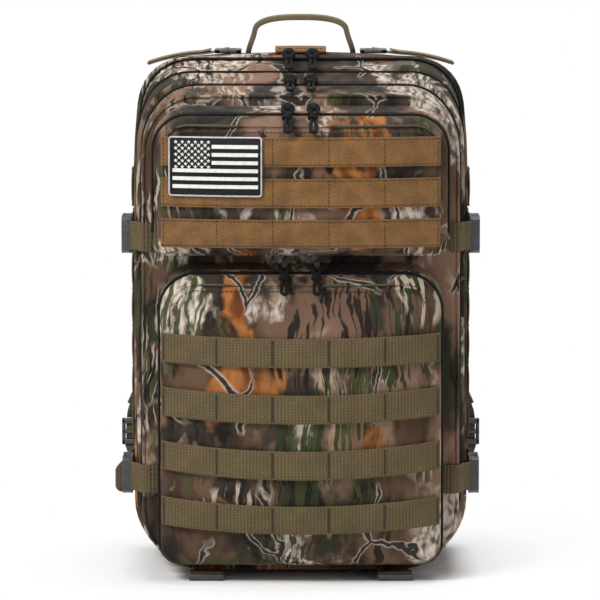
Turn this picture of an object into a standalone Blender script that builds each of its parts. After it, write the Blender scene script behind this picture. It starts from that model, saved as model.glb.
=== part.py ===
"""Three-compartment hunting backpack: zipped shells, webbing rows, buckles, pulls and harness."""

from math import cos, pi, radians, sin, sqrt

import bmesh
import bpy
from mathutils import Matrix, Vector

# Shells, in metres: X across, Y from front (minus) to back, Z up
BACK_Y = 0.092
REAR_DEPTH = 0.075
MID_DEPTH = 0.048
FRONT_DEPTH = 0.040
POCKET_DEPTH = 0.028
REAR_HALF = 0.151
MID_STEP = 0.004
FRONT_STEP = 0.005
FRONT_LOW = 0.004
TOP_BACK = 0.448
TOP_MAIN_ZIP = 0.450
TOP_SECOND_ZIP = 0.430
TOP_FACE = 0.423
TOP_CORNER = 0.048
LOW_CORNER = 0.055
EDGE = 0.010
FABRIC = 0.003
ZIP_TAPE = 0.006
GAP = 0.0003

# Front pockets
UPPER_HALF = 0.129
UPPER_LOW = 0.284
UPPER_TOP = 0.408
UPPER_CORNERS = (0.014, 0.032)
UPPER_CROWN = 0.024
LOWER_HALF = 0.124
LOWER_LOW = 0.014
LOWER_TOP = 0.271
LOWER_CORNERS = (0.020, 0.026)
LOWER_CROWN = 0.034
POCKET_SLOPE = 0.006
LIP = 0.008
CROWN_ACROSS = 2.2
CROWN_UPRIGHT = 5.0

# Webbing and loop tape
WEB = 0.025
WEB_THICK = 0.0016
CELL = 0.048
CELLS = 5
CELL_RISE = 0.0012
ROW_GAP = 0.0009
WEB_ROWS_LOW = 0.061
WEB_ROW_PITCH = 0.048
LOOP_ROWS_LOW = 0.306
LOOP_ROW_PITCH = 0.035

# Patch on the loop tape
PATCH_X = -0.073
PATCH_Z = 0.3635
PATCH_WIDE = 0.080
PATCH_TALL = 0.051
PATCH_THICK = 0.0025

# Zip sliders and cord pulls
SLIDER_X = 0.012
SLIDER_Y = 0.008
SLIDER_Z = 0.0042
TONGUE = 0.005
EYE_Y = 0.0065
EYE_Z = 0.0052
EYE_R = 0.0017
EYE_WALL = 0.0014
CORD_R = 0.0012
PULL_LEG = 0.014
PULL_LONG = 0.0385
KNOT_R = 0.0036
SLIDER_PLACES = (0.0105, 0.0090, 0.0110, 0.0140)
PULL_DROPS = (22.0, 15.0, 34.0, 38.0)

# Side-release buckles and compression straps
BUCKLE_THICK = 0.009
BUCKLE_TALL = 0.033
BUCKLE_SLOT = 0.005
FEMALE_LONG = 0.0285
FEMALE_WEB = 0.006
NECK_RIM = 0.001
SCOOP_DEEP = 0.0045
MOUTH_CORNER = 0.002
PRONG_LONG = 0.022
PRONG_THICK = 0.0042
ARM_INSET = 0.003
ARM_WIDE = 0.0045
ARM_ROOT = 0.0035
ARM_NOSE = 0.008
ARM_CHAMFER = 0.001
GUIDE_ROOT = 0.0022
GUIDE_TIP = 0.0014
PRONG_TAIL = 0.004
BASE_LONG = 0.0125
STRAP_SLOT = 0.0024
BUCKLE_HEIGHTS = {"upper": 0.298, "lower": 0.086}
BUCKLE_BACK = 0.009
STRAP_ENTRY = 0.001
STUB_BEND = 0.009
STUB_HUG = 0.002
STUB_STEP = 0.010
STUB_END = 0.002

# Carry handle, port cover and top straps
HANDLE_FOOT = 0.047
HANDLE_RISE = 0.037
HANDLE_SHOULDER = 0.041
HANDLE_SIDE = 0.008
HANDLE_ARCH = 2.6
HANDLE_THICK = 0.0055
HANDLE_BACK = 0.015
PORT_WIDE = 0.046
PORT_LONG = 0.028
PORT_BACK = 0.034
LIFTER_IN = 0.065
LIFTER_INSET = 0.010
LIFTER_DROP = 0.004
LIFTER_BACK = 0.001
LOCK_WIDE = 0.030
LOCK_LONG = 0.024
LOCK_THICK = 0.005

# Back pad and harness
PAD_HALF = 0.110
PAD_LOW = 0.040
PAD_TOP = 0.415
PAD_THICK = 0.012
PAD_GROOVE = 0.012
PAD_GROOVE_DEEP = 0.005
PAD_COLUMN = 0.040
PAD_ACROSS_Z = 0.1825
STRAP_TOP_X = 0.046
STRAP_LOW_X = 0.138
STRAP_TOP_Z = 0.405
STRAP_LOW_Z = 0.116
STRAP_WIDE = 0.062
STRAP_TAPER = 0.012
STRAP_THICK = 0.014
STRAP_ARCH = 0.026
STRAP_SWEEP = 1.5
STRAP_ROUND = 1.3
STRAP_SECTION = ((1, -0.5), (1, 0.5), (0.8, 1), (-0.8, 1), (-1, 0.5), (-1, -0.5), (-0.8, -1), (0.8, -1))
ADJUSTER_WIDE = 0.030
ADJUSTER_TALL = 0.024
ADJUSTER_THICK = 0.006
ANCHOR_X = 0.124
ANCHOR_Z = 0.030
BELT_TALL = 0.032
BELT_Z = 0.092
BELT_LONG = 0.012
BELT_SHORT = -0.005
BELT_FOLD = 0.004
BELT_IN = 0.126

# Under the front: two short straps, each with a bar
BOTTOM_X = 0.082
BAR_WIDE = 0.031
BAR_LONG = 0.012
BAR_THICK = 0.0085

CORNER_STEPS = 4
BEND_STEPS = 5
FOLD_STEPS = 6
STRAP_STEPS = 12
EYE_STEPS = 10
KNOT_STEPS = 8
FLAP_RINGS = (1.0, 0.93, 0.8, 0.6, 0.35, 0.12)
HANDLE_TOE = (76, 53, 30, 0)
CELL_STEPS = 4
TAPE_STEPS = 3
PATCH_STEPS = 8
MID_HALF = REAR_HALF - MID_STEP
LIFTER_OUT = REAR_HALF - LIFTER_INSET
FRONT_HALF = MID_HALF - FRONT_STEP
MAIN_ZIP_Y = BACK_Y - REAR_DEPTH
SECOND_ZIP_Y = MAIN_ZIP_Y - MID_DEPTH
FACE_Y = SECOND_ZIP_Y - FRONT_DEPTH
POCKET_Y = FACE_Y - POCKET_DEPTH
LIP_Y = POCKET_Y - LIP
PAD_Y = BACK_Y + GAP + PAD_THICK
STRAP_X = REAR_HALF + GAP + WEB_THICK / 2

CAMO = ("camo_cloth", (0.17, 0.12, 0.085), 0.85)
COYOTE = ("coyote_loop", (0.29, 0.16, 0.06), 0.9)
OLIVE = ("olive_webbing", (0.17, 0.13, 0.06), 0.8)
BLACK = ("black_plastic", (0.015, 0.015, 0.016), 0.45)
CORD = ("black_cord", (0.012, 0.012, 0.012), 0.8)
RUBBER = ("patch_rubber", (0.05, 0.05, 0.05), 0.6)
MESH = ("mesh_pad", (0.03, 0.03, 0.028), 0.9)


def clear_scene():
    for old in list(bpy.data.objects):
        bpy.data.objects.remove(old, do_unlink=True)


def new_collection(name):
    made = bpy.data.collections.new(name)
    bpy.context.scene.collection.children.link(made)
    return made


clear_scene()
PACK = new_collection("hunting_backpack")
TOOLS = new_collection("cutters")
PIVOTS = {}


def material(finish):
    name, colour, rough = finish
    found = bpy.data.materials.get(name)
    if found:
        return found
    made = bpy.data.materials.new(name)
    made.use_nodes = True
    shader = made.node_tree.nodes["Principled BSDF"]
    shader.inputs["Base Color"].default_value = (*colour, 1.0)
    shader.inputs["Roughness"].default_value = rough
    return made


def pivot(name, place, parent=None):
    """An empty on a joint's axis, which carries the pieces that turn or slide there."""
    empty = bpy.data.objects.new(name, None)
    PACK.objects.link(empty)
    PIVOTS[name] = Vector(place)
    if parent:
        empty.parent = bpy.data.objects[parent]
    empty.location = PIVOTS[name] - PIVOTS.get(parent, Vector())


def mesh_of(name, points, faces):
    mesh = bpy.data.meshes.new(name)
    mesh.from_pydata([tuple(point) for point in points], [], faces)
    mesh.validate()
    return mesh


def add_piece(name, mesh, finish, carrier, origin=None, turn=0.0):
    """Links a piece; a mesh drawn in the object's frame is shifted to its carrier's pivot."""
    if origin is None:
        origin = PIVOTS[carrier]
        mesh.transform(Matrix.Translation(-origin))
    piece = bpy.data.objects.new(name, mesh)
    PACK.objects.link(piece)
    piece.parent = bpy.data.objects[carrier]
    piece.location = Vector(origin) - PIVOTS[carrier]
    piece.rotation_euler.x = turn
    mesh.materials.clear()
    mesh.materials.append(material(finish))
    return piece


def add_tool(name, mesh):
    tool = bpy.data.objects.new(name, mesh)
    TOOLS.objects.link(tool)
    tool.hide_render = True
    tool.display_type = "WIRE"
    return tool


def solidify(piece, thickness, offset):
    shell = piece.modifiers.new("shell", "SOLIDIFY")
    shell.thickness = thickness
    shell.offset = offset
    shell.use_even_offset = True
    return piece


def boolean(piece, tool, operation):
    cut = piece.modifiers.new(operation.lower(), "BOOLEAN")
    cut.object = tool
    cut.operation = operation
    return piece


def baked(piece):
    """The piece's evaluated mesh, for copies that share it; the piece itself is removed."""
    graph = bpy.context.evaluated_depsgraph_get()
    mesh = bpy.data.meshes.new_from_object(piece.evaluated_get(graph))
    name = piece.name
    bpy.data.objects.remove(piece, do_unlink=True)
    work = bmesh.new()
    work.from_mesh(mesh)
    bmesh.ops.remove_doubles(work, verts=work.verts, dist=1e-6)
    work.to_mesh(mesh)
    work.free()
    mesh.name = name
    return mesh


def outline(half, low, high, r_low, r_high, runs=1):
    """A rounded rectangle in XZ, anticlockwise seen from the front."""
    corners = (
        (half - r_low, low + r_low, r_low, -90),
        (half - r_high, high - r_high, r_high, 0),
        (r_high - half, high - r_high, r_high, 90),
        (r_low - half, low + r_low, r_low, 180),
    )
    arcs = []
    for centre_x, centre_z, radius, start in corners:
        angles = [radians(start + 90 * step / CORNER_STEPS) for step in range(CORNER_STEPS + 1)]
        arcs.append([(centre_x + radius * cos(a), centre_z + radius * sin(a)) for a in angles])
    points = []
    for arc, following in zip(arcs, arcs[1:] + arcs[:1]):
        points += arc
        (x0, z0), (x1, z1) = arc[-1], following[0]
        for step in range(1, runs):
            share = step / runs
            points.append((x0 + (x1 - x0) * share, z0 + (z1 - z0) * share))
    return points


def loft(name, loops, cap_first=False, cap_last=False):
    """Skins loops of equal count, ordered from back to front."""
    count = len(loops[0])
    points = [point for loop in loops for point in loop]
    faces = []
    for level in range(len(loops) - 1):
        base = level * count
        for i in range(count):
            j = (i + 1) % count
            faces.append((base + i, base + j, base + count + j, base + count + i))
    if cap_first:
        faces.append(tuple(reversed(range(count))))
    if cap_last:
        faces.append(tuple(range(len(points) - count, len(points))))
    return mesh_of(name, points, faces)


def at_depth(section, y):
    return [(x, y, z) for x, z in section]


def ribbon(name, stations):
    """An open strip; each station gives the points across the webbing there."""
    wide = len(stations[0])
    points = [point for row in stations for point in row]
    faces = []
    for row in range(len(stations) - 1):
        for i in range(row * wide, row * wide + wide - 1):
            faces.append((i, i + wide, i + wide + 1, i + 1))
    return mesh_of(name, points, faces)


def prism(name, profile, low_x, high_x):
    """A YZ outline carried across from low_x to high_x."""
    loops = [[(x, y, z) for y, z in profile] for x in (low_x, high_x)]
    mesh = loft(name, loops, True, True)
    return outward(mesh)


def outward(mesh):
    work = bmesh.new()
    work.from_mesh(mesh)
    bmesh.ops.recalc_face_normals(work, faces=work.faces)
    work.to_mesh(mesh)
    work.free()
    return mesh


def box(name, low, high):
    work = bmesh.new()
    size = Vector(high) - Vector(low)
    middle = (Vector(high) + Vector(low)) / 2
    bmesh.ops.create_cube(work, size=1.0)
    bmesh.ops.scale(work, verts=work.verts, vec=size)
    bmesh.ops.translate(work, verts=work.verts, vec=middle)
    mesh = bpy.data.meshes.new(name)
    work.to_mesh(mesh)
    work.free()
    return mesh


def shell_section(half, low, high, inset=0.0):
    return outline(half - inset, low + inset, high - inset, LOW_CORNER - inset, TOP_CORNER - inset)


def edge_loops(half, low, high, y, inward):
    """Three loops that round a shell's sewn edge into its panel; inward is the way to the panel."""
    softened = EDGE * (1 - sqrt(0.5))
    return [
        at_depth(shell_section(half, low, high), y - inward * EDGE),
        at_depth(shell_section(half, low, high, softened), y - inward * softened),
        at_depth(shell_section(half, low, high, EDGE), y),
    ]


def tape_loops(half, low, high, y, forward):
    """Two loops of one section, a zip tape's width apart; forward is 1 where y is the front one."""
    section = shell_section(half, low, high)
    return [at_depth(section, y + ZIP_TAPE * forward), at_depth(section, y)][::forward]


def make_rear_shell():
    back = edge_loops(REAR_HALF, 0.0, TOP_BACK, BACK_Y, 1)
    rim = tape_loops(REAR_HALF, 0.0, TOP_MAIN_ZIP, MAIN_ZIP_Y, 1)
    mesh = loft("rear_shell", back[::-1] + rim, cap_first=True)
    solidify(add_piece("rear_shell", mesh, CAMO, "pack"), FABRIC, -1)


def make_mid_shell():
    rim = tape_loops(MID_HALF, FRONT_LOW, TOP_MAIN_ZIP, MAIN_ZIP_Y - GAP, -1)
    front = tape_loops(MID_HALF, FRONT_LOW, TOP_SECOND_ZIP, SECOND_ZIP_Y, 1)
    mesh = loft("mid_shell", rim + front, cap_last=True)
    solidify(add_piece("mid_shell", mesh, CAMO, "main_hinge"), FABRIC, -1)


def gusset(name, half, low, high, corners):
    """The pocket's side wall, standing on the front panel."""
    rear = at_depth(outline(half, low, high + POCKET_SLOPE, *corners), FACE_Y + FABRIC / 2)
    front = at_depth(outline(half, low, high, *corners), POCKET_Y)
    return solidify(add_tool(name, loft(name, [rear, front])), FABRIC, -1)


def make_front_shell():
    rim = tape_loops(FRONT_HALF, FRONT_LOW, TOP_SECOND_ZIP, SECOND_ZIP_Y - GAP, -1)
    front = edge_loops(FRONT_HALF, FRONT_LOW, TOP_FACE, FACE_Y, -1)
    mesh = loft("front_shell", rim + front, cap_last=True)
    shell = solidify(add_piece("front_shell", mesh, CAMO, "second_hinge"), FABRIC, -1)
    boolean(shell, gusset("upper_gusset", UPPER_HALF, UPPER_LOW, UPPER_TOP, UPPER_CORNERS), "UNION")
    boolean(shell, gusset("lower_gusset", LOWER_HALF, LOWER_LOW, LOWER_TOP, LOWER_CORNERS), "UNION")


FLAPS = {
    "upper": (UPPER_HALF, UPPER_LOW, UPPER_TOP, UPPER_CROWN, UPPER_CORNERS),
    "lower": (LOWER_HALF, LOWER_LOW, LOWER_TOP, LOWER_CROWN, LOWER_CORNERS),
}


def flap_y(which, x, z):
    """Depth of a pocket's stuffed front at a point."""
    half, low, high, crown, _ = FLAPS[which]
    across = min(1.0, abs(x) / half)
    upright = min(1.0, abs(2 * z - low - high) / (high - low))
    return LIP_Y - crown * (1 - across**CROWN_ACROSS) * (1 - upright**CROWN_UPRIGHT)


def make_flap(which):
    half, low, high, _, corners = FLAPS[which]
    section = outline(half, low, high, *corners, runs=6)
    middle = (low + high) / 2
    loops = [at_depth(section, POCKET_Y - GAP)]
    for share in FLAP_RINGS:
        ring = [(x * share, middle + (z - middle) * share) for x, z in section]
        loops.append([(x, flap_y(which, x, z), z) for x, z in ring])
    mesh = loft(which, loops, cap_last=True)
    name = f"{which}_pocket_flap"
    solidify(add_piece(name, mesh, CAMO, f"{which}_hinge"), FABRIC, -1)


def tape_heights(middle, tall):
    return [middle + tall * (0.5 - step / TAPE_STEPS) for step in range(TAPE_STEPS + 1)]


def tape_row(name, which, middle, rise, finish):
    """Webbing sewn across a flap at the cell lines, lifted by rise between them."""
    stations = []
    for step in range(CELLS * CELL_STEPS + 1):
        x = CELL * (step / CELL_STEPS - CELLS / 2)
        lift = ROW_GAP + WEB_THICK / 2 + rise * abs(sin(pi * step / CELL_STEPS))
        stations.append([(x, flap_y(which, x, z) - lift, z) for z in tape_heights(middle, WEB)])
    mesh = ribbon(name, stations)
    solidify(add_piece(name, mesh, finish, f"{which}_hinge"), WEB_THICK, 0)


def make_rows():
    for number in range(4):
        middle = WEB_ROWS_LOW + WEB_ROW_PITCH * number
        tape_row(f"webbing_row_{number + 1}", "lower", middle, CELL_RISE, OLIVE)
    for number in range(3):
        middle = LOOP_ROWS_LOW + LOOP_ROW_PITCH * number
        tape_row(f"loop_row_{number + 1}", "upper", middle, 0.0, COYOTE)


def make_patch():
    """A rubber patch pressed on the loop tape, bent to the pocket's crown."""
    lift = 2 * ROW_GAP + WEB_THICK + PATCH_THICK / 2
    heights = tape_heights(PATCH_Z, PATCH_TALL)
    stations = []
    for step in range(PATCH_STEPS + 1):
        x = PATCH_X + PATCH_WIDE * (step / PATCH_STEPS - 0.5)
        stations.append([(x, flap_y("upper", x, z) - lift, z) for z in heights])
    solidify(add_piece("patch", ribbon("patch", stations), RUBBER, "patch_slide"), PATCH_THICK, 0)


# Each zip: name, body in front of it, seam depth and height, and the slope of the cloth behind
ZIPS = (
    ("main", "main_hinge", MAIN_ZIP_Y, TOP_MAIN_ZIP, 0.0),
    ("second", "second_hinge", SECOND_ZIP_Y, TOP_SECOND_ZIP, 0.0),
    ("upper", "upper_hinge", POCKET_Y, UPPER_TOP, POCKET_SLOPE / POCKET_DEPTH),
    ("lower", "lower_hinge", POCKET_Y, LOWER_TOP, POCKET_SLOPE / POCKET_DEPTH),
)


def slider_mesh():
    body = box("slider", (-SLIDER_X / 2, -SLIDER_Y / 2, 0), (SLIDER_X / 2, SLIDER_Y / 2, SLIDER_Z))
    tongue_low = (-TONGUE / 2, -EYE_Y - EYE_R - EYE_WALL, EYE_Z - EYE_R - EYE_WALL)
    tongue_high = (TONGUE / 2, -SLIDER_Y / 4, EYE_Z + EYE_R + EYE_WALL)
    slider = add_tool("slider", body)
    rounded = slider.modifiers.new("edges", "BEVEL")
    rounded.width = SLIDER_Z / 5
    boolean(slider, add_tool("tongue", box("tongue", tongue_low, tongue_high)), "UNION")
    work = bmesh.new()
    turned = Matrix.Translation((0, -EYE_Y, EYE_Z)) @ Matrix.Rotation(pi / 2, 4, "Y")
    bmesh.ops.create_cone(
        work, cap_ends=True, segments=EYE_STEPS, radius1=EYE_R, radius2=EYE_R, depth=SLIDER_X, matrix=turned
    )
    eye = bpy.data.meshes.new("eye")
    work.to_mesh(eye)
    work.free()
    boolean(slider, add_tool("eye", eye), "DIFFERENCE")
    return baked(slider)


def pull_mesh():
    """A cord loop through the slider's eye, a knot under it and the cord's tail."""
    reach = TONGUE / 2 + 2 * CORD_R
    half = [
        (TONGUE / 2, 0.0),
        (reach - CORD_R / 3, -CORD_R / 2),
        (reach, -2 * CORD_R),
        (reach - CORD_R / 2, -PULL_LEG * 0.6),
        (CORD_R, -PULL_LEG),
    ]
    route = [(-x, z) for x, z in reversed(half)] + half
    line = bpy.data.curves.new("cord_loop", "CURVE")
    line.dimensions = "3D"
    line.bevel_depth = CORD_R
    line.bevel_resolution = 1
    line.use_fill_caps = True
    spline = line.splines.new("POLY")
    spline.points.add(len(route) - 1)
    for point, (x, z) in zip(spline.points, route):
        point.co = (x, 0.0, z, 1.0)
    loop = add_tool("cord_loop", baked(add_tool("cord_line", line)))
    tail = CORD_R * 1.5
    turned = [
        (0.0, -PULL_LEG + 2 * CORD_R),
        (KNOT_R * 0.7, -PULL_LEG + CORD_R),
        (KNOT_R, -PULL_LEG - KNOT_R / 2),
        (KNOT_R, -PULL_LEG - KNOT_R * 1.5),
        (tail, -PULL_LEG - KNOT_R * 2.5),
        (tail, CORD_R - PULL_LONG),
        (0.0, -PULL_LONG),
    ]
    profile = mesh_of("knot", [(x, 0.0, z) for x, z in turned], [])
    work = bmesh.new()
    work.from_mesh(profile)
    work.verts.ensure_lookup_table()
    for first, second in zip(work.verts[:-1], work.verts[1:]):
        work.edges.new((first, second))
    work.to_mesh(profile)
    work.free()
    knot = add_tool("knot", profile)
    turning = knot.modifiers.new("turn", "SCREW")
    turning.steps = turning.render_steps = KNOT_STEPS
    turning.use_merge_vertices = True
    turning.merge_threshold = 0.0001
    knot = add_tool("pull", outward(baked(knot)))
    boolean(knot, loop, "UNION")
    return baked(knot)


def make_zips():
    slider = slider_mesh()
    pull = pull_mesh()
    for (name, carrier, seam_y, seam_z, slope), start, drop in zip(ZIPS, SLIDER_PLACES, PULL_DROPS):
        rest_z = seam_z + slope * SLIDER_Y / 2 + GAP
        for side, x in (("L", -start), ("R", start)):
            place = (x, seam_y, rest_z)
            pivot(f"{name}_zip_{side}", place, carrier)
            add_piece(f"{name}_slider_{side}", slider, BLACK, f"{name}_zip_{side}", place)
            eye = (x, seam_y - EYE_Y, rest_z + EYE_Z)
            pivot(f"{name}_eye_{side}", eye, f"{name}_zip_{side}")
            turn = radians(drop - 90)
            add_piece(f"{name}_pull_{side}", pull, CORD, f"{name}_eye_{side}", eye, turn)


def female_mesh():
    """Two plates joined at the strap end, scooped at the sides where the arms are squeezed."""
    half = BUCKLE_TALL / 2
    neck = WEB / 2 + NECK_RIM
    profile = [(-FEMALE_LONG, -neck), (-FEMALE_LONG * 0.78, -half)]
    for step in range(BEND_STEPS + 1):
        share = step / BEND_STEPS
        y = -FEMALE_LONG * (0.66 - 0.42 * share)
        profile.append((y, -half + SCOOP_DEEP * sin(pi * share)))
    profile += [(-FEMALE_LONG * 0.08, -half), (0.0, -half + MOUTH_CORNER)]
    profile += [(y, -z) for y, z in reversed(profile)]
    body = add_tool("female", prism("female", profile, -BUCKLE_THICK / 2, BUCKLE_THICK / 2))
    low = (-BUCKLE_SLOT / 2, FEMALE_WEB - FEMALE_LONG, -BUCKLE_TALL)
    high = (BUCKLE_SLOT / 2, FEMALE_LONG, BUCKLE_TALL)
    boolean(body, add_tool("channel", box("channel", low, high)), "DIFFERENCE")
    return baked(body)


def male_mesh():
    """A thick strap frame with two spring arms and a guide tongue in front."""
    half = BUCKLE_TALL / 2
    arm_out = half - ARM_INSET
    arm_in = arm_out - ARM_WIDE
    tip = -PRONG_LONG
    start = GAP * 2
    arm = [
        (start, arm_in - ARM_ROOT),
        (start - ARM_INSET, arm_in - ARM_CHAMFER),
        (tip + ARM_NOSE, arm_in),
        (tip, arm_in + ARM_CHAMFER),
        (tip, arm_out - ARM_INSET),
        (tip + ARM_NOSE, arm_out),
        (start, arm_out - ARM_CHAMFER),
    ]
    guide_tip = tip + ARM_NOSE
    guide = [(start, GUIDE_ROOT), (guide_tip, GUIDE_TIP), (guide_tip, -GUIDE_TIP), (start, -GUIDE_ROOT)]
    tail = [(PRONG_TAIL, half - PRONG_TAIL)]
    profile = tail + arm[::-1] + guide + [(y, -z) for y, z in arm] + [(y, -z) for y, z in tail]
    prongs = add_tool("prongs", prism("prongs", profile, -PRONG_THICK / 2, PRONG_THICK / 2))
    frame = [
        (start, half - ARM_INSET),
        (ARM_INSET, half),
        (BASE_LONG * 0.6, half - ARM_CHAMFER),
        (BASE_LONG, half - ARM_ROOT),
    ]
    frame += [(y, -z) for y, z in reversed(frame)]
    body = add_tool("male", prism("male", frame, -BUCKLE_THICK / 2, BUCKLE_THICK / 2))
    boolean(body, prongs, "UNION")
    low = (-STRAP_SLOT / 2, start - PRONG_LONG, -WEB / 2 - GAP * 2)
    high = (STRAP_SLOT / 2, BASE_LONG * 2, WEB / 2 + GAP * 2)
    boolean(body, add_tool("strap_way", box("strap_way", low, high)), "DIFFERENCE")
    return baked(body)


def make_stub(name, side, start, height):
    """Webbing from beside the pocket, round the front edge, then out and back to the female buckle."""
    face = FACE_Y - GAP - WEB_THICK / 2
    bend_x = FRONT_HALF + GAP + WEB_THICK / 2 - STUB_BEND
    route = [(start, face)]
    for step in range(BEND_STEPS + 1):
        angle = radians(-90 + 90 * step / BEND_STEPS)
        route.append((bend_x + STUB_BEND * cos(angle), face + STUB_BEND + STUB_BEND * sin(angle)))
    hugged = face + STUB_BEND + STUB_HUG
    out = hugged + STUB_STEP
    route += [(bend_x + STUB_BEND, hugged), (STRAP_X, out), (STRAP_X, out + STUB_END)]
    stations = [[(side * x, y, height + WEB / 2), (side * x, y, height - WEB / 2)] for x, y in route]
    solidify(add_piece(name, ribbon(name, stations), OLIVE, "second_hinge"), WEB_THICK, 0)


def make_compression_straps():
    female = female_mesh()
    male = male_mesh()
    stub_y = FACE_Y - WEB_THICK / 2 + STUB_BEND + STUB_HUG + STUB_STEP + STUB_END
    mouth_y = stub_y + FEMALE_LONG
    pocket_half = {"upper": UPPER_HALF, "lower": LOWER_HALF}
    for level, height in BUCKLE_HEIGHTS.items():
        for letter, side in (("L", -1), ("R", 1)):
            tag = f"{level}_{letter}"
            place = (side * STRAP_X, mouth_y, height)
            make_stub(f"strap_stub_{tag}", side, pocket_half[level] + GAP, height)
            add_piece(f"buckle_female_{tag}", female, BLACK, "second_hinge", place)
            pivot(f"buckle_{tag}", place, "pack")
            add_piece(f"buckle_male_{tag}", male, BLACK, f"buckle_{tag}", place)
            entry = mouth_y + BASE_LONG - STRAP_ENTRY
            ends = [entry, BACK_Y - BUCKLE_BACK]
            edges = (height + WEB / 2, height - WEB / 2)
            stations = [[(side * STRAP_X, y, z) for z in edges] for y in ends]
            name = f"side_strap_{tag}"
            solidify(add_piece(name, ribbon(name, stations), OLIVE, "pack"), WEB_THICK, 0)


def top_z(y):
    """Height of the rear shell's top at a depth."""
    share = (y - MAIN_ZIP_Y) / (BACK_Y - EDGE - MAIN_ZIP_Y)
    return TOP_MAIN_ZIP + (TOP_BACK - TOP_MAIN_ZIP) * min(1.0, share)


def make_handle():
    """A webbing arch whose rounded feet let it swing about its sewn line."""
    axis = PIVOTS["handle"]
    half_web = WEB / 2
    stations = []
    for toe in HANDLE_TOE:
        turn = radians(toe)
        stations.append((HANDLE_FOOT, axis.z - half_web * sin(turn), half_web * cos(turn)))
    side_z = axis.z + HANDLE_SIDE
    arch = HANDLE_RISE - half_web - HANDLE_SIDE
    for step in range(2 * BEND_STEPS + 1):
        angle = pi / 2 * step / (2 * BEND_STEPS)
        x = HANDLE_SHOULDER * max(0.0, cos(angle)) ** (2 / HANDLE_ARCH)
        stations.append((x, side_z + arch * sin(angle) ** (2 / HANDLE_ARCH), half_web))
    stations += [(-x, z, wide) for x, z, wide in reversed(stations[:-1])]
    edges = [[(x, axis.y - wide, z), (x, axis.y + wide, z)] for x, z, wide in stations]
    solidify(add_piece("carry_handle", ribbon("carry_handle", edges), OLIVE, "handle"), HANDLE_THICK, 0)


def make_port_flap():
    rear = BACK_Y - PORT_BACK
    low = top_z(rear - PORT_LONG) + GAP * 2
    mesh = box("port_flap", (-PORT_WIDE / 2, rear - PORT_LONG, low), (PORT_WIDE / 2, rear, low + FABRIC))
    piece = add_piece("port_flap", mesh, COYOTE, "port_hinge")
    soft = piece.modifiers.new("edges", "BEVEL")
    soft.width = FABRIC / 4


def make_lifters():
    """Top strap tails that run outwards from their lock, over the shell's corner, to a folded end."""
    rear = BACK_Y - EDGE - LIFTER_BACK
    middle = rear - WEB / 2
    low = top_z(rear - WEB) + GAP * 2
    for letter, side in (("L", -1), ("R", 1)):
        name = f"lifter_strap_{letter}"
        flat = REAR_HALF - TOP_CORNER
        level = low + WEB_THICK / 2
        route = [(LIFTER_IN + LOCK_LONG / 2, level), (flat, level), (LIFTER_OUT, level - LIFTER_DROP)]
        stations = [[(side * x, rear - WEB, z), (side * x, rear, z)] for x, z in route]
        strap = solidify(add_piece(name, ribbon(name, stations), OLIVE, "pack"), WEB_THICK, 0)
        lock_x = sorted((side * (LIFTER_IN - LOCK_LONG / 2), side * (LIFTER_IN + LOCK_LONG / 2 + GAP * 2)))
        corner = (lock_x[0], middle - LOCK_WIDE / 2, low)
        far = (lock_x[1], middle + LOCK_WIDE / 2, low + LOCK_THICK)
        boolean(strap, add_tool(f"lock_{letter}", box("lock", corner, far)), "UNION")
        fold_in = LIFTER_OUT - WEB / 2
        fold_low = level - LIFTER_DROP - WEB_THICK / 4
        fold_x = sorted((side * fold_in, side * (LIFTER_OUT + WEB_THICK)))
        fold = box("fold", (fold_x[0], rear - WEB, fold_low), (fold_x[1], rear, fold_low + 3 * WEB_THICK))
        boolean(strap, add_tool(f"fold_{letter}", fold), "UNION")


def make_back_pad():
    """A padded back panel with two upright air channels and one across."""
    inset = PAD_THICK / 3
    loops = []
    for y, shrink in ((PAD_Y, inset), (PAD_Y - inset, 0.0), (BACK_Y + GAP, 0.0)):
        section = outline(
            PAD_HALF - shrink, PAD_LOW + shrink, PAD_TOP - shrink, TOP_CORNER / 2, TOP_CORNER / 2
        )
        loops.append(at_depth(section, y))
    pad = add_piece("back_pad", loft("back_pad", loops, True, True), MESH, "pack")
    deep = PAD_Y - PAD_GROOVE_DEEP
    past = PAD_Y + PAD_THICK
    for letter, side in (("L", -1), ("R", 1)):
        middle = side * PAD_COLUMN
        low = (middle - PAD_GROOVE / 2, deep, PAD_LOW - PAD_THICK)
        high = (middle + PAD_GROOVE / 2, past, PAD_TOP + PAD_THICK)
        boolean(pad, add_tool(f"channel_{letter}", box("channel", low, high)), "DIFFERENCE")
    low = (-REAR_HALF, deep + GAP, PAD_ACROSS_Z - PAD_GROOVE / 2)
    high = (REAR_HALF, past, PAD_ACROSS_Z + PAD_GROOVE / 2)
    boolean(pad, add_tool("channel_across", box("channel", low, high)), "DIFFERENCE")


def make_shoulder_straps():
    for letter, side in (("L", -1), ("R", 1)):
        loops = []
        for step in range(STRAP_STEPS + 1):
            share = step / STRAP_STEPS
            x = side * (STRAP_TOP_X + (STRAP_LOW_X - STRAP_TOP_X) * share**STRAP_SWEEP)
            z = STRAP_TOP_Z + (STRAP_LOW_Z - STRAP_TOP_Z) * share
            y = PAD_Y + GAP + STRAP_THICK / 2 + STRAP_ARCH * sin(pi * share) ** STRAP_ROUND
            half = (STRAP_WIDE - STRAP_TAPER * share) / 2
            thick = STRAP_THICK / 2
            loops.append([(x + half * a, y + thick * b, z) for a, b in STRAP_SECTION])
        name = f"shoulder_strap_{letter}"
        mesh = outward(loft(name, loops, True, True))
        add_piece(name, mesh, MESH, "pack")


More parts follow.
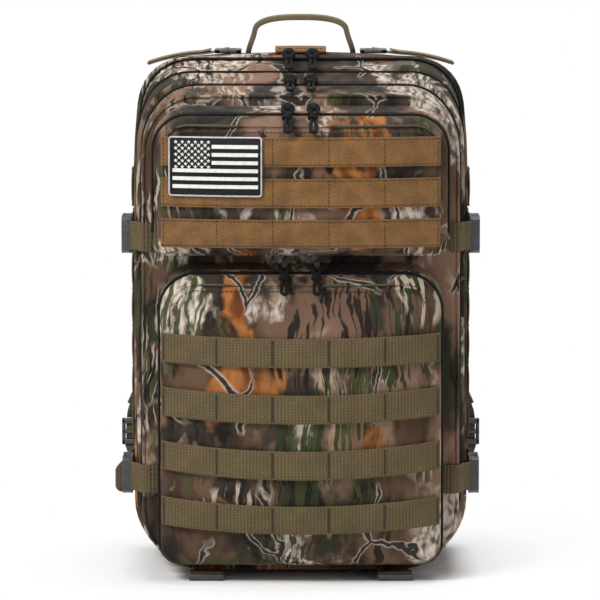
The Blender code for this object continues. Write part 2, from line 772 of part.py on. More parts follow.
def make_strap_ends():
    """The adjuster under each shoulder pad and the webbing from it to the bottom corner."""
    for letter, side in (("L", -1), ("R", 1)):
        high = STRAP_LOW_Z - GAP
        low = high - ADJUSTER_TALL
        middle = PAD_Y + GAP + STRAP_THICK / 2
        x = side * (STRAP_LOW_X + (STRAP_WIDE - STRAP_TAPER - ADJUSTER_WIDE) / 2)
        mesh = box(
            "strap_adjuster",
            (x - ADJUSTER_WIDE / 2, middle - ADJUSTER_THICK / 2, low),
            (x + ADJUSTER_WIDE / 2, middle + ADJUSTER_THICK / 2, high),
        )
        piece = add_piece(f"strap_adjuster_{letter}", mesh, BLACK, "pack")
        soft = piece.modifiers.new("edges", "BEVEL")
        soft.width = ADJUSTER_THICK / 4
        start = low - GAP - WEB_THICK / 2
        sewn = BACK_Y + GAP + WEB_THICK / 2
        route = [
            (x, middle, start),
            (side * (abs(x) + ANCHOR_X) / 2, (middle + sewn) / 2, (start + ANCHOR_Z) / 2),
            (side * ANCHOR_X, sewn, ANCHOR_Z),
        ]
        stations = [[(a - WEB / 2, b, c), (a + WEB / 2, b, c)] for a, b, c in route]
        name = f"strap_webbing_{letter}"
        solidify(add_piece(name, ribbon(name, stations), OLIVE, "pack"), WEB_THICK, 0)


def make_belts():
    """Waist webbing, sewn behind the side of the pad and doubled back on itself."""
    sewn = BACK_Y + GAP + WEB_THICK / 2
    for letter, side, reach in (("L", -1, BELT_LONG), ("R", 1, BELT_SHORT)):
        turn_x = REAR_HALF + reach - BELT_FOLD - WEB_THICK / 2
        route = [(BELT_IN, sewn), (turn_x, sewn)]
        for step in range(1, FOLD_STEPS + 1):
            angle = radians(-90 + 180 * step / FOLD_STEPS)
            route.append((turn_x + BELT_FOLD * cos(angle), sewn + BELT_FOLD + BELT_FOLD * sin(angle)))
        route.append((BELT_IN, sewn + 2 * BELT_FOLD))
        edges = (BELT_Z + BELT_TALL / 2, BELT_Z - BELT_TALL / 2)
        stations = [[(side * x, y, z) for z in edges] for x, y in route]
        name = f"waist_belt_{letter}"
        solidify(add_piece(name, ribbon(name, stations), OLIVE, "pack"), WEB_THICK, 0)


def make_bottom_straps():
    for letter, side in (("L", -1), ("R", 1)):
        name = f"bottom_strap_{letter}"
        x = side * BOTTOM_X
        high = FRONT_LOW - GAP - WEB_THICK / 2
        bar_y = POCKET_Y + POCKET_DEPTH / 2
        run = [SECOND_ZIP_Y - EDGE, FACE_Y, bar_y]
        stations = [[(x - WEB / 2, y, high), (x + WEB / 2, y, high)] for y in run]
        strap = solidify(add_piece(name, ribbon(name, stations), OLIVE, "second_hinge"), WEB_THICK, 0)
        low = (x - BAR_WIDE / 2, bar_y - BAR_LONG, 0.0)
        far = (x + BAR_WIDE / 2, bar_y + WEB_THICK, BAR_THICK)
        boolean(strap, add_tool(f"bar_{letter}", box("bar", low, far)), "UNION")


def make_pivots():
    pivot("pack", (0, 0, 0))
    pivot("main_hinge", (0, MAIN_ZIP_Y, FRONT_LOW), "pack")
    pivot("second_hinge", (0, SECOND_ZIP_Y, FRONT_LOW), "main_hinge")
    pivot("upper_hinge", (0, LIP_Y, UPPER_LOW), "second_hinge")
    pivot("lower_hinge", (0, LIP_Y, LOWER_LOW), "second_hinge")
    pivot("patch_slide", (PATCH_X, LIP_Y, PATCH_Z), "upper_hinge")
    handle_y = BACK_Y - HANDLE_BACK
    pivot("handle", (0, handle_y, top_z(handle_y - WEB / 2) + GAP + WEB / 2), "pack")
    rear = BACK_Y - PORT_BACK
    pivot("port_hinge", (0, rear, top_z(rear - PORT_LONG) + GAP * 2), "pack")


make_pivots()
make_rear_shell()
make_mid_shell()
make_front_shell()
make_flap("upper")
make_flap("lower")
make_rows()
make_patch()
make_zips()
make_compression_straps()
make_handle()
make_port_flap()
make_lifters()
make_back_pad()
make_shoulder_straps()
make_strap_ends()
make_belts()
make_bottom_straps()
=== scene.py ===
from math import cos, exp, pi, radians, sin, sqrt

import bmesh
import bpy
from mathutils import Matrix, Vector, noise


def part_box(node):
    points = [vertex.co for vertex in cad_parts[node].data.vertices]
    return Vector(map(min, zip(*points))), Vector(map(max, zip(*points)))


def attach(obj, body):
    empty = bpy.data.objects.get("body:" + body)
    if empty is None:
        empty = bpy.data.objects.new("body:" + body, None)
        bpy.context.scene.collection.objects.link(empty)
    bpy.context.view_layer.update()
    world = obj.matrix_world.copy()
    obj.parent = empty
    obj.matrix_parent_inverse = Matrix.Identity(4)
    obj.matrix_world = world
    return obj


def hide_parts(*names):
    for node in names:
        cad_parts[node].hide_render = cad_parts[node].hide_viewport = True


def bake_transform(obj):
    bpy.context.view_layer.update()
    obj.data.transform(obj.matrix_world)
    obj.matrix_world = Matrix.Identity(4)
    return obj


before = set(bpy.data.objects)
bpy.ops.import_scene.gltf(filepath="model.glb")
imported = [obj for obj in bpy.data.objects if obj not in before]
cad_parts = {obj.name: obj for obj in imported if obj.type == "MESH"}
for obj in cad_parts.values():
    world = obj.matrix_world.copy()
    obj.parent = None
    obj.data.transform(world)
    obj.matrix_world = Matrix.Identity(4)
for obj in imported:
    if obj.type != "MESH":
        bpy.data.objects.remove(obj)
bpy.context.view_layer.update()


def corners(node):
    return [Vector(corner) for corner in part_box(node)]


# Sizes read from the frame; front is minus Y
sides = (("L", -1), ("R", 1))
rearLow, rearHigh = corners("rear_shell")
midLow, midHigh = corners("mid_shell")
frontLow, frontHigh = corners("front_shell")
backY, mainZipY, secondZipY, pocketY = rearHigh.y, rearLow.y, midLow.y, frontLow.y
topMain, topSecond = rearHigh.z, frontHigh.z
faceDrop, backDrop = 0.007, 0.002  # how far the top falls toward the front face and the back
topFace, topBack = topSecond - faceDrop, topMain - backDrop
lowCorner, topCorner = 0.055, 0.048
pocketDepth, pocketSlope = 0.028, 0.006
faceY = pocketY + pocketDepth
lip = 0.008
flaps = {"upper": {"corners": (0.014, 0.032)}, "lower": {"corners": (0.020, 0.034)}}
for which, flap in flaps.items():
    flap["low"], flap["high"] = corners(which + "_pocket_flap")
    flap["half"] = flap["high"].x
    flap["crown"] = pocketY - lip - flap["low"].y
web, webThick = 0.025, 0.0016
clothThick = 0.0012
sewnGap = 0.0003


def paint(red, green, blue):
    shares = [value / 255 for value in (red, green, blue)]
    return tuple(c / 12.92 if c < 0.04045 else ((c + 0.055) / 1.055) ** 2.4 for c in shares) + (1.0,)


def feed(tree, socket, value):
    if isinstance(value, bpy.types.NodeSocket):
        tree.links.new(value, socket)
    else:
        socket.default_value = value


def put(tree, kind, sockets=None, **settings):
    node = tree.nodes.new("ShaderNode" + kind)
    for key, value in settings.items():
        setattr(node, key, value)
    for key, value in (sockets or {}).items():
        feed(tree, node.inputs[key], value)
    return node


def mixColour(tree, factor, first, second):
    node = put(tree, "Mix", data_type="RGBA")
    for index, value in ((0, factor), (6, first), (7, second)):
        feed(tree, node.inputs[index], value)
    return node.outputs[2]


def ramp(tree, factor, stops):
    node = put(tree, "ValToRGB", {"Fac": factor})
    marks = node.color_ramp.elements
    while len(marks) < len(stops):
        marks.new(1.0)
    for mark, (place, colour) in zip(marks, stops):
        mark.position = place
        mark.color = colour
    return node.outputs["Color"]


def greys(tree, factor, *stops):
    return ramp(tree, factor, [(place, (value, value, value, 1.0)) for place, value in stops])


def shaded(tree, factor, *stops):
    # Each stop has a colour as red, green and blue up to 255
    return ramp(tree, factor, [(place, paint(*shade)) for place, shade in stops])


def sums(tree, operation, *values):
    node = put(tree, "Math", operation=operation)
    for socket, value in zip(node.inputs, values):
        feed(tree, socket, value)
    return node.outputs[0]


def vectors(tree, operation, first, second=None):
    given = {0: first} if second is None else {0: first, 1: second}
    return put(tree, "VectorMath", given, operation=operation)


def shared(tree, first, second, share=0.6):
    # Two fields as one, the first by its share
    return sums(tree, "ADD", sums(tree, "MULTIPLY", first, share), sums(tree, "MULTIPLY", second, 1 - share))


def speckled(tree, coords, scale, detail=3.0, output="Fac"):
    return put(tree, "TexNoise", {"Vector": coords, "Scale": scale, "Detail": detail}).outputs[output]


def cloud(tree, coords, size, place, detail=3.0):
    # One noise field out of many, told apart by its place in the fourth direction
    return put(tree, "TexNoise", {"Vector": coords, "W": place, "Scale": size, "Detail": detail},
               noise_dimensions="4D").outputs["Fac"]


def warped(tree, coords, scale, amount):
    spread = speckled(tree, coords, scale, output="Color")
    shift = vectors(tree, "SUBTRACT", spread, (0.5, 0.5, 0.5)).outputs[0]
    sized = put(tree, "VectorMath", {0: shift, "Scale": amount}, operation="SCALE").outputs[0]
    return vectors(tree, "ADD", coords, sized).outputs[0]


def stretched(tree, coords, turn, scale):
    return put(tree, "Mapping", {"Vector": coords, "Rotation": turn, "Scale": scale}).outputs[0]


def drawnOut(tree, coords, lean, tall):
    return stretched(tree, coords, (0, lean, 0), (1.0, 1.0, tall))


def ribbed(tree, coords, pitch, direction="X"):
    # Even ribs at a pitch in metres
    wavesPerPitch = 0.314
    return put(tree, "TexWave", {"Vector": coords, "Scale": wavesPerPitch / pitch},
               bands_direction=direction).outputs["Fac"]


def shaderOf(made):
    return made.node_tree.nodes["Principled BSDF"]


def newMaterial(name, rough, gloss=0.5, sheen=0.0):
    made = bpy.data.materials.new(name)
    made.use_nodes = True
    for key, value in (("Roughness", rough), ("Specular IOR Level", gloss), ("Sheen Weight", sheen)):
        shaderOf(made).inputs[key].default_value = value
    return made, made.node_tree


def dressed(made, colour, height, distance, strength):
    # Colour and relief of a finish
    tree, inputs = made.node_tree, shaderOf(made).inputs
    tree.links.new(colour, inputs["Base Color"])
    bump = put(tree, "Bump", {"Height": height, "Distance": distance, "Strength": strength})
    tree.links.new(bump.outputs[0], inputs["Normal"])
    return made


# Camouflage cloth: a smooth brown ground under layers of blotches, each with its own size and finish
# warps are scale and reach; a lean comes with how far it is drawn out upright
camoForm = {"soft": (16.0, 0.030), "rough": (75.0, 0.009), "blotch": (0.2, 0.62), "grain": (0.1, 0.45),
            "line": (0.3, 0.5), "ground": 6.0, "tuft": (230.0, 60.0, 22.0), "tuftPatch": 12.0,
            "lineCell": 13.0, "linePatch": 14.0, "weave": 0.0009, "weaveShare": 0.10, "lumps": 40.0}
camoGround = ((0.36, (82, 62, 48)), (0.47, (110, 85, 69)), (0.60, (130, 103, 85)))
camoLayers = (
    {"size": 9.0, "place": 51.0, "from": 0.520, "to": 0.560, "grain": 45.0,
     "dark": (58, 42, 30), "light": (96, 73, 56)},
    {"size": 16.0, "place": 63.0, "from": 0.570, "to": 0.600, "grain": 130.0,
     "dark": (112, 90, 72), "light": (170, 148, 128)},
    {"size": 10.0, "place": 3.0, "from": 0.508, "to": 0.556, "grain": 60.0,
     "dark": (20, 18, 17), "light": (60, 50, 42)},
    {"size": 13.0, "place": 11.0, "from": 0.585, "to": 0.615, "grain": 70.0,
     "dark": (104, 55, 24), "light": (168, 108, 58)},
    {"size": 12.0, "place": 21.0, "from": 0.565, "to": 0.590, "grain": 210.0,
     "dark": (96, 80, 66), "light": (210, 198, 182)},
    {"size": 17.0, "place": 37.0, "from": 0.572, "to": 0.602, "grain": 90.0,
     "dark": (20, 18, 17), "light": (52, 44, 38)},
)
camoTufts = (
    {"turn": 0.6, "place": 5.0, "shade": (46, 56, 30)},
    {"turn": -0.5, "place": 9.0, "shade": (30, 26, 23)},
    {"turn": 1.1, "place": 15.0, "shade": (176, 160, 142)},
    {"turn": -0.9, "place": 19.0, "shade": (62, 70, 40)},
)
camoLines = (
    {"stops": ((0.018, 0.75), (0.032, 0.0)), "shade": (196, 182, 166)},
    {"stops": ((0.012, 0.95), (0.020, 0.0)), "shade": (22, 19, 17)},
)


def camoMaterial():
    made, tree = newMaterial("camoCloth", 0.82, gloss=0.15, sheen=0.04)
    coords = put(tree, "TexCoord").outputs["Object"]
    soft = warped(tree, coords, *camoForm["soft"])
    rough = warped(tree, soft, *camoForm["rough"])
    colour = shaded(tree, cloud(tree, soft, camoForm["ground"], 0.0), *camoGround)
    tall = drawnOut(tree, rough, *camoForm["blotch"])
    fine = drawnOut(tree, soft, *camoForm["grain"])
    for layer in camoLayers:
        inside = greys(tree, cloud(tree, tall, layer["size"], layer["place"], 4.0),
                       (layer["from"], 0), (layer["to"], 0.95))
        grain = cloud(tree, fine, layer["grain"], layer["place"], 5.0)
        tint = shaded(tree, grain, (0.40, layer["dark"]), (0.60, layer["light"]))
        colour = mixColour(tree, inside, colour, tint)
    # spiky tufts
    for tuft in camoTufts:
        spiky = stretched(tree, soft, (0, tuft["turn"], 0), camoForm["tuft"])
        sharp = greys(tree, speckled(tree, spiky, 1.0), (0.53, 0), (0.57, 0.95))
        there = greys(tree, cloud(tree, coords, camoForm["tuftPatch"], tuft["place"], 1.0),
                      (0.57, 0), (0.62, 1))
        colour = mixColour(tree, sums(tree, "MULTIPLY", sharp, there), colour, paint(*tuft["shade"]))
    # thin lines, pale with a dark core, broken into short lengths
    edges = put(tree, "TexVoronoi", {"Vector": drawnOut(tree, rough, *camoForm["line"]),
                                     "Scale": camoForm["lineCell"]}, feature="DISTANCE_TO_EDGE")
    kept = greys(tree, cloud(tree, coords, camoForm["linePatch"], 27.0, 1.0), (0.48, 0), (0.52, 1))
    for line in camoLines:
        drawn = sums(tree, "MULTIPLY", kept, greys(tree, edges.outputs["Distance"], *line["stops"]))
        colour = mixColour(tree, drawn, colour, paint(*line["shade"]))
    bands = [ribbed(tree, coords, camoForm["weave"], direction) for direction in "XYZ"]
    woven = sums(tree, "ADD", bands[0], sums(tree, "MULTIPLY", bands[1], bands[2]))
    height = sums(tree, "ADD", sums(tree, "MULTIPLY", woven, camoForm["weaveShare"]),
                  speckled(tree, coords, camoForm["lumps"], 4.0))
    return dressed(made, colour, height, 0.0018, 0.55)


# Woven webbing: ribs across the tape and fine ribs along it, on the strip's own UV in metres; the grooves
# between the ribs get painted shade
webbing = {"fineRib": 0.0024, "fuzz": 700.0, "wear": 45.0, "grooveShade": (40, 33, 18)}


def tapeCoords(tree):
    return put(tree, "UVMap", uv_map="tape").outputs["UV"]


def webbingMaterial(name, base, light, pitch=0.0030, deep=0.0010):
    made, tree = newMaterial(name, 0.78)
    uv = tapeCoords(tree)
    ribs = shared(tree, ribbed(tree, uv, pitch), ribbed(tree, uv, webbing["fineRib"], "Y"))
    worn = shared(tree, speckled(tree, uv, webbing["fuzz"]), speckled(tree, uv, webbing["wear"]))
    colour = shaded(tree, worn, (0.36, base), (0.64, light))
    # painted shade: the grooves between the ribs are darkened toward the groove-shade colour
    colour = mixColour(tree, greys(tree, ribs, (0.15, 0.55), (0.62, 0)), colour, paint(*webbing["grooveShade"]))
    return dressed(made, colour, ribs, deep, 0.6)


# Loop tape: fuzzy brushed loops
loopTape = {"fuzz": 900.0, "wear": 70.0, "dark": (92, 63, 31), "light": (140, 99, 51)}


def loopMaterial():
    made, tree = newMaterial("loopTape", 0.95, sheen=0.15)
    uv = tapeCoords(tree)
    fuzz = speckled(tree, uv, loopTape["fuzz"], 4.0)
    worn = shared(tree, fuzz, speckled(tree, uv, loopTape["wear"], 4.0))
    colour = shaded(tree, worn, (0.38, loopTape["dark"]), (0.62, loopTape["light"]))
    return dressed(made, colour, fuzz, 0.0012, 0.9)


# Moulded plastic, metal, rubber, lining and thread share one speckled finish
def plainMaterial(name, dark, light, rough, scale=260.0, metallic=0.0, gloss=0.5):
    made, tree = newMaterial(name, rough, gloss)
    speck = speckled(tree, put(tree, "TexCoord").outputs["Object"], scale, 4.0)
    inputs = shaderOf(made).inputs
    inputs["Metallic"].default_value = metallic
    tree.links.new(greys(tree, speck, (0.3, rough - 0.08), (0.7, min(1.0, rough + 0.08))),
                   inputs["Roughness"])
    return dressed(made, shaded(tree, speck, (0.3, dark), (0.7, light)), speck, 0.0002, 0.5)


# Braided cord: two sets of slanting ribs, with painted shade in the grooves and painted highlight on the
# crests
braid = {"lean": 0.7, "pitch": 0.0010, "dark": (4, 4, 5), "light": (15, 15, 16)}


def cordMaterial():
    made, tree = newMaterial("braidedCord", 0.75, gloss=0.2)
    uv = tapeCoords(tree)
    leans = [stretched(tree, uv, (0, 0, lean), (1.0, 1.0, 1.0)) for lean in (braid["lean"], -braid["lean"])]
    height = sums(tree, "MULTIPLY", *[ribbed(tree, leaning, braid["pitch"]) for leaning in leans])
    # painted shade and highlight: the cord's colour follows the braid's height
    colour = shaded(tree, height, (0.1, braid["dark"]), (0.8, braid["light"]))
    return dressed(made, colour, height, 0.0005, 0.8)


# Spacer mesh of the back pad and shoulder straps: dark cells, their sunk middles darkened as painted shade
spacerMesh = {"cells": 330.0, "dark": (16, 16, 15), "light": (52, 50, 46)}


def meshMaterial():
    made, tree = newMaterial("spacerMesh", 0.9)
    coords = put(tree, "TexCoord").outputs["Object"]
    holes = put(tree, "TexVoronoi", {"Vector": coords, "Scale": spacerMesh["cells"]}).outputs["Distance"]
    # painted shade: the cell middles, sunk by the bump, are coloured dark
    colour = shaded(tree, holes, (0.15, spacerMesh["dark"]), (0.5, spacerMesh["light"]))
    return dressed(made, colour, holes, 0.0010, 0.8)


camo = camoMaterial()
olive = webbingMaterial("oliveWebbing", (74, 60, 33), (104, 87, 51))
brown = webbingMaterial("brownWebbing", (62, 50, 32), (88, 73, 48))
handleWeb = webbingMaterial("handleWebbing", (98, 86, 61), (138, 122, 92), 0.0013, 0.0002)
coyote = loopMaterial()
plastic = plainMaterial("mouldedPlastic", (46, 48, 52), (68, 71, 76), 0.38)
metal = plainMaterial("sliderMetal", (22, 22, 24), (40, 40, 42), 0.38, metallic=0.6)
rubberBlack = plainMaterial("rubberBlack", (12, 12, 12), (22, 22, 23), 0.65, gloss=0.2)
rubberWhite = plainMaterial("rubberWhite", (206, 206, 200), (228, 228, 222), 0.6)
rubberGrey = plainMaterial("rubberRim", (164, 165, 164), (196, 197, 196), 0.5)
lining = plainMaterial("lining", (62, 56, 44), (84, 76, 60), 0.8, 500.0)
zipBlack = plainMaterial("zipCoil", (14, 14, 15), (30, 30, 31), 0.5, gloss=0.25)
tapeBlack = plainMaterial("zipTape", (20, 18, 16), (34, 31, 28), 0.9, 900.0, gloss=0.1)
thread = plainMaterial("thread", (52, 40, 25), (76, 60, 38), 0.8, 900.0)
tackThread = plainMaterial("tackThread", (44, 32, 20), (60, 45, 29), 0.8, 900.0)
darkThread = plainMaterial("darkThread", (40, 35, 28), (62, 54, 42), 0.8, 900.0)
cordBlack = cordMaterial()
spacer = meshMaterial()
print("materials ready")


def added(name, data):
    piece = bpy.data.objects.new(name, data)
    bpy.context.scene.collection.objects.link(piece)
    return piece


def meshPiece(name, points, faces, body, material, smooth=True):
    mesh = bpy.data.meshes.new(name)
    mesh.from_pydata([tuple(point) for point in points], [], faces)
    mesh.validate()
    mesh.materials.append(material)
    if smooth:
        mesh.shade_smooth()
    piece = added(name, mesh)
    piece["carrier"] = body
    return piece


def settle(piece):
    # Turns the piece and its modifiers into one plain mesh
    graph = bpy.context.evaluated_depsgraph_get()
    mesh = bpy.data.meshes.new_from_object(piece.evaluated_get(graph), depsgraph=graph)
    piece.modifiers.clear()
    piece.data = mesh
    return piece


def bevelled(piece, width, segments, degrees=30):
    edge = piece.modifiers.new("rounded", "BEVEL")
    edge.width = width
    edge.segments = segments
    edge.limit_method = "ANGLE"
    edge.angle_limit = radians(degrees)


def thicken(piece, thickness, offset=0.0, inner=None, rounding=0.0):
    shell = piece.modifiers.new("thick", "SOLIDIFY")
    shell.thickness = thickness
    shell.offset = offset
    shell.use_even_offset = inner is None
    if inner:
        piece.data.materials.append(inner)
        shell.material_offset = 1
    if rounding:
        bevelled(piece, rounding, 2, 50)
    return settle(piece)


def lined(piece):
    return thicken(piece, clothThick, -1.0, lining)


def sharpen(piece, degrees):
    piece.data.set_sharp_from_angle(angle=radians(degrees))
    return piece


def outward(piece):
    work = bmesh.new()
    work.from_mesh(piece.data)
    bmesh.ops.recalc_face_normals(work, faces=work.faces)
    work.to_mesh(piece.data)
    work.free()
    return piece


def finished(piece, *nodes, slot=None):
    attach(piece, piece["carrier"])
    if nodes:
        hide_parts(*nodes)
    return piece


def joined(name, pieces, body):
    # Several meshes as one piece
    work = bmesh.new()
    materials = []
    for piece in pieces:
        order = []
        for material in piece.data.materials:
            if material not in materials:
                materials.append(material)
            order.append(materials.index(material))
        start = len(work.faces)
        work.from_mesh(piece.data)
        work.faces.ensure_lookup_table()
        for face in work.faces[start:]:
            face.material_index = order[face.material_index]
    made = bpy.data.meshes.new(name)
    work.to_mesh(made)
    work.free()
    for material in materials:
        made.materials.append(material)
    whole = added(name, made)
    whole["carrier"] = body
    for piece in pieces:
        bpy.data.objects.remove(piece, do_unlink=True)
    return whole


def between(first, second, share):
    return first + (second - first) * share


def shares(steps):
    return [step / steps for step in range(steps + 1)]


def clamped(share):
    return min(1.0, max(0.0, share))


def eased(share):
    share = clamped(share)
    return share * share * (3 - 2 * share)


def outline(half, low, high, rLow, rHigh, cornerSteps=10, runs=14):
    # Rounded rectangle in XZ, anticlockwise from the lower right corner
    arcs = []
    for x, z, r, start in (
        (half - rLow, low + rLow, rLow, -90), (half - rHigh, high - rHigh, rHigh, 0),
        (rHigh - half, high - rHigh, rHigh, 90), (rLow - half, low + rLow, rLow, 180)):
        turns = [radians(start + 90 * step / cornerSteps) for step in range(cornerSteps + 1)]
        arcs.append([(x + r * cos(turn), z + r * sin(turn)) for turn in turns])
    points = []
    for arc, following in zip(arcs, arcs[1:] + arcs[:1]):
        (x0, z0), (x1, z1) = arc[-1], following[0]
        points += arc
        points += [(between(x0, x1, step / runs), between(z0, z1, step / runs)) for step in range(1, runs)]
    return points


def skin(loops, capFirst=False, capLast=False):
    # Quads between loops ordered from back to front
    count = len(loops[0])
    points = [point for loop in loops for point in loop]
    faces = []
    for base in range(0, len(points) - count, count):
        for i in range(count):
            j = (i + 1) % count
            faces.append((base + i, base + j, base + count + j, base + count + i))
    if capFirst:
        faces.append(tuple(reversed(range(count))))
    if capLast:
        faces.append(tuple(range(len(points) - count, len(points))))
    return points, faces


def grid(rows):
    # Open strip: each row holds the points across
    wide = len(rows[0])
    points = [point for row in rows for point in row]
    faces = []
    for base in range(0, len(points) - wide, wide):
        faces += [(i, i + wide, i + wide + 1, i + 1) for i in range(base, base + wide - 1)]
    return points, faces


def lengths(path):
    # Distance along a path at each of its points
    run = [0.0]
    for first, second in zip(path, path[1:]):
        run.append(run[-1] + (Vector(second) - Vector(first)).length)
    return run


def measured(piece, along, across):
    # Length and width, in metres, as UV; points lie in rows across the length
    layer = piece.data.uv_layers.new(name="tape")
    wide = len(across)
    for corner in piece.data.loops:
        layer.data[corner.index].uv = (along[corner.vertex_index // wide], across[corner.vertex_index % wide])


def strip(name, rows, body, material, thickness, rounding=0.0005):
    # Woven tape
    piece = meshPiece(name, *grid(rows), body, material)
    wide = len(rows[0])
    measured(piece, lengths([row[wide // 2] for row in rows]), lengths(rows[len(rows) // 2]))
    return sharpen(thicken(piece, thickness, rounding=rounding), 50)


def tube(name, path, radius, body, material, closed=False):
    # Round cord along a path
    path = [Vector(point) for point in path]
    count, around = len(path), 8
    turns = [2 * pi * step / around for step in range(around)]
    loops = []
    for i in range(count):
        before = path[i - 1] if (i or closed) else path[i]
        after = path[(i + 1) % count] if (i < count - 1 or closed) else path[i]
        ahead = (after - before).normalized()
        if i == 0:
            side = ahead.orthogonal().normalized()
        side = (side - ahead * side.dot(ahead)).normalized()
        over = ahead.cross(side)
        loops.append([path[i] + (side * cos(turn) + over * sin(turn)) * radius for turn in turns])
    if closed:
        loops.append(loops[0])
    piece = meshPiece(name, *skin(loops, not closed, not closed), body, material)
    measured(piece, lengths(path + path[:1]), [turn * radius for turn in turns])
    return outward(piece)


def rounded(points, steps=4):
    # Smooth path through the given points
    points = [Vector(point) for point in points]
    path = []
    for i in range(len(points) - 1):
        p0 = points[max(i - 1, 0)]
        p1, p2 = points[i], points[i + 1]
        p3 = points[min(i + 2, len(points) - 1)]
        for step in range(steps):
            t = step / steps
            path.append(0.5 * (2 * p1 + (p2 - p0) * t + (2 * p0 - 5 * p1 + 4 * p2 - p3) * t * t
                               + (3 * p1 - p0 - 3 * p2 + p3) * t ** 3))
    return path + [points[-1]]


def crumple(piece, amount, scale, seed, keep=None):
    # Lets the cloth sink a little along its normal, by a fixed noise
    mesh = piece.data
    normals = [vertex.normal.copy() for vertex in mesh.vertices]
    for vertex, normal in zip(mesh.vertices, normals):
        place = vertex.co * scale + Vector((seed, seed * 1.7, 0))
        sink = 0.5 + 0.5 * noise.noise(place) + 0.25 * noise.noise(place * 2.3)
        held = keep(vertex.co) if keep else 1.0
        vertex.co -= normal * amount * max(0.0, sink) * held


# Stitches, bar tacks and zip teeth follow paths through one node tree
followNodes = {
    "start": "NodeGroupInput", "end": "NodeGroupOutput", "curve": "GeometryNodeMeshToCurve",
    "even": "GeometryNodeResampleCurve", "ahead": "GeometryNodeInputTangent",
    "up": "GeometryNodeInputNamedAttribute", "turnX": "FunctionNodeAlignRotationToVector",
    "turnZ": "FunctionNodeAlignRotationToVector", "unit": "GeometryNodeObjectInfo",
    "place": "GeometryNodeInstanceOnPoints", "real": "GeometryNodeRealizeInstances",
    "finish": "GeometryNodeSetMaterial",
}
followLinks = (
    ("start", "Path", "curve", "Mesh"), ("curve", "Curve", "even", "Curve"),
    ("start", "Spacing", "even", "Length"), ("even", "Curve", "place", "Points"),
    ("start", "Unit", "unit", "Object"),
    ("unit", "Geometry", "place", "Instance"), ("ahead", "Tangent", "turnX", "Vector"),
    ("turnX", "Rotation", "turnZ", "Rotation"), ("up", "Attribute", "turnZ", "Vector"),
    ("turnZ", "Rotation", "place", "Rotation"), ("place", "Instances", "real", "Geometry"),
    ("real", "Geometry", "finish", "Geometry"), ("start", "Finish", "finish", "Material"),
    ("finish", "Geometry", "end", "Run"),
)


def followTree():
    tree = bpy.data.node_groups.new("followPath", "GeometryNodeTree")
    for name, way, kind in (("Path", "INPUT", "Geometry"), ("Unit", "INPUT", "Object"),
                            ("Spacing", "INPUT", "Float"), ("Finish", "INPUT", "Material"),
                            ("Run", "OUTPUT", "Geometry")):
        tree.interface.new_socket(name, in_out=way, socket_type="NodeSocket" + kind)
    made = {key: tree.nodes.new(kind) for key, kind in followNodes.items()}
    made["even"].mode = "LENGTH"
    made["up"].data_type = "FLOAT_VECTOR"
    made["up"].inputs["Name"].default_value = "up"
    made["turnX"].axis = "X"
    made["turnZ"].axis = "Z"
    made["turnZ"].pivot_axis = "X"
    for first, output, second, socket in followLinks:
        tree.links.new(made[first].outputs[output], made[second].inputs[socket])
    return tree


followGroup = followTree()
sockets = {item.name: item.identifier for item in followGroup.interface.items_tree}


def unitShape(name, long, wide, tall):
    # Small rounded bar, long in X, lying on the XY plane
    work = bmesh.new()
    bmesh.ops.create_cube(work, size=1.0)
    for vertex in work.verts:
        vertex.co = Vector((vertex.co.x * long, vertex.co.y * wide, (vertex.co.z + 0.5) * tall))
        if vertex.co.z > tall / 2:
            vertex.co.x *= 0.6
            vertex.co.y *= 0.55
    mesh = bpy.data.meshes.new(name)
    work.to_mesh(mesh)
    work.free()
    mesh.shade_smooth()
    return added(name, mesh)


stitchUnit = unitShape("stitchUnit", 0.0026, 0.0008, 0.0005)
tackUnit = unitShape("tackUnit", 0.0009, 0.0024, 0.0005)
toothUnit = unitShape("toothUnit", 0.0011, 0.0030, 0.0016)


def follow(name, runs, unit, spacing, material, body):
    # runs: lists of (point, outward direction)
    points, edges, ups = [], [], []
    for run in runs:
        base = len(points)
        points += [tuple(point) for point, _ in run]
        ups += [tuple(up) for _, up in run]
        edges += [(base + i, base + i + 1) for i in range(len(run) - 1)]
    mesh = bpy.data.meshes.new(name)
    mesh.from_pydata(points, edges, [])
    layer = mesh.attributes.new("up", "FLOAT_VECTOR", "POINT")
    for item, up in zip(layer.data, ups):
        item.vector = up
    piece = added(name, mesh)
    piece["carrier"] = body
    nodes = piece.modifiers.new("follow", "NODES")
    nodes.node_group = followGroup
    for key, value in (("Unit", unit), ("Spacing", spacing), ("Finish", material)):
        nodes[sockets[key]] = value
    return settle(piece)


stitching = {}
facingFront, facingBack, facingUp = Vector((0, -1, 0)), Vector((0, 1, 0)), Vector((0, 0, 1))
alongX, alongY, downward = Vector((1, 0, 0)), Vector((0, 1, 0)), Vector((0, 0, -1))


def stitch(body, points, facing, kind="plain"):
    # Gathers sewing lines; each body's lines become one piece at the end
    stitching.setdefault((body, kind), []).append([(Vector(point), facing) for point in points])


def across(place, direction, wide=web, count=5):
    # A tape's points from edge to edge
    return [Vector(place) + direction * (wide * (k / (count - 1) - 0.5)) for k in range(count)]


print("tools ready")


# The sewn layers draw in a little, most of all below the top corners, and the rear top swells in the middle
drawIn = {"all": 0.018, "top": 0.020, "height": 0.408, "spread": 0.028}
swell = {"rise": 0.0045, "half": 0.125, "startY": 0.02, "runY": 0.02, "startZ": 0.40, "runZ": 0.04}


def atDepth(points, y):
    return [(x, y, z) for x, z in points]


def narrowed(z):
    near = (z - drawIn["height"]) / drawIn["spread"]
    return 1 - drawIn["all"] - drawIn["top"] * exp(-near ** 2)


def arched(x, y, z=1.0):
    sideways = max(0.0, 1 - (x / swell["half"]) ** 2) ** 2
    return (swell["rise"] * sideways * eased((y - swell["startY"]) / swell["runY"])
            * eased((z - swell["startZ"]) / swell["runZ"]))


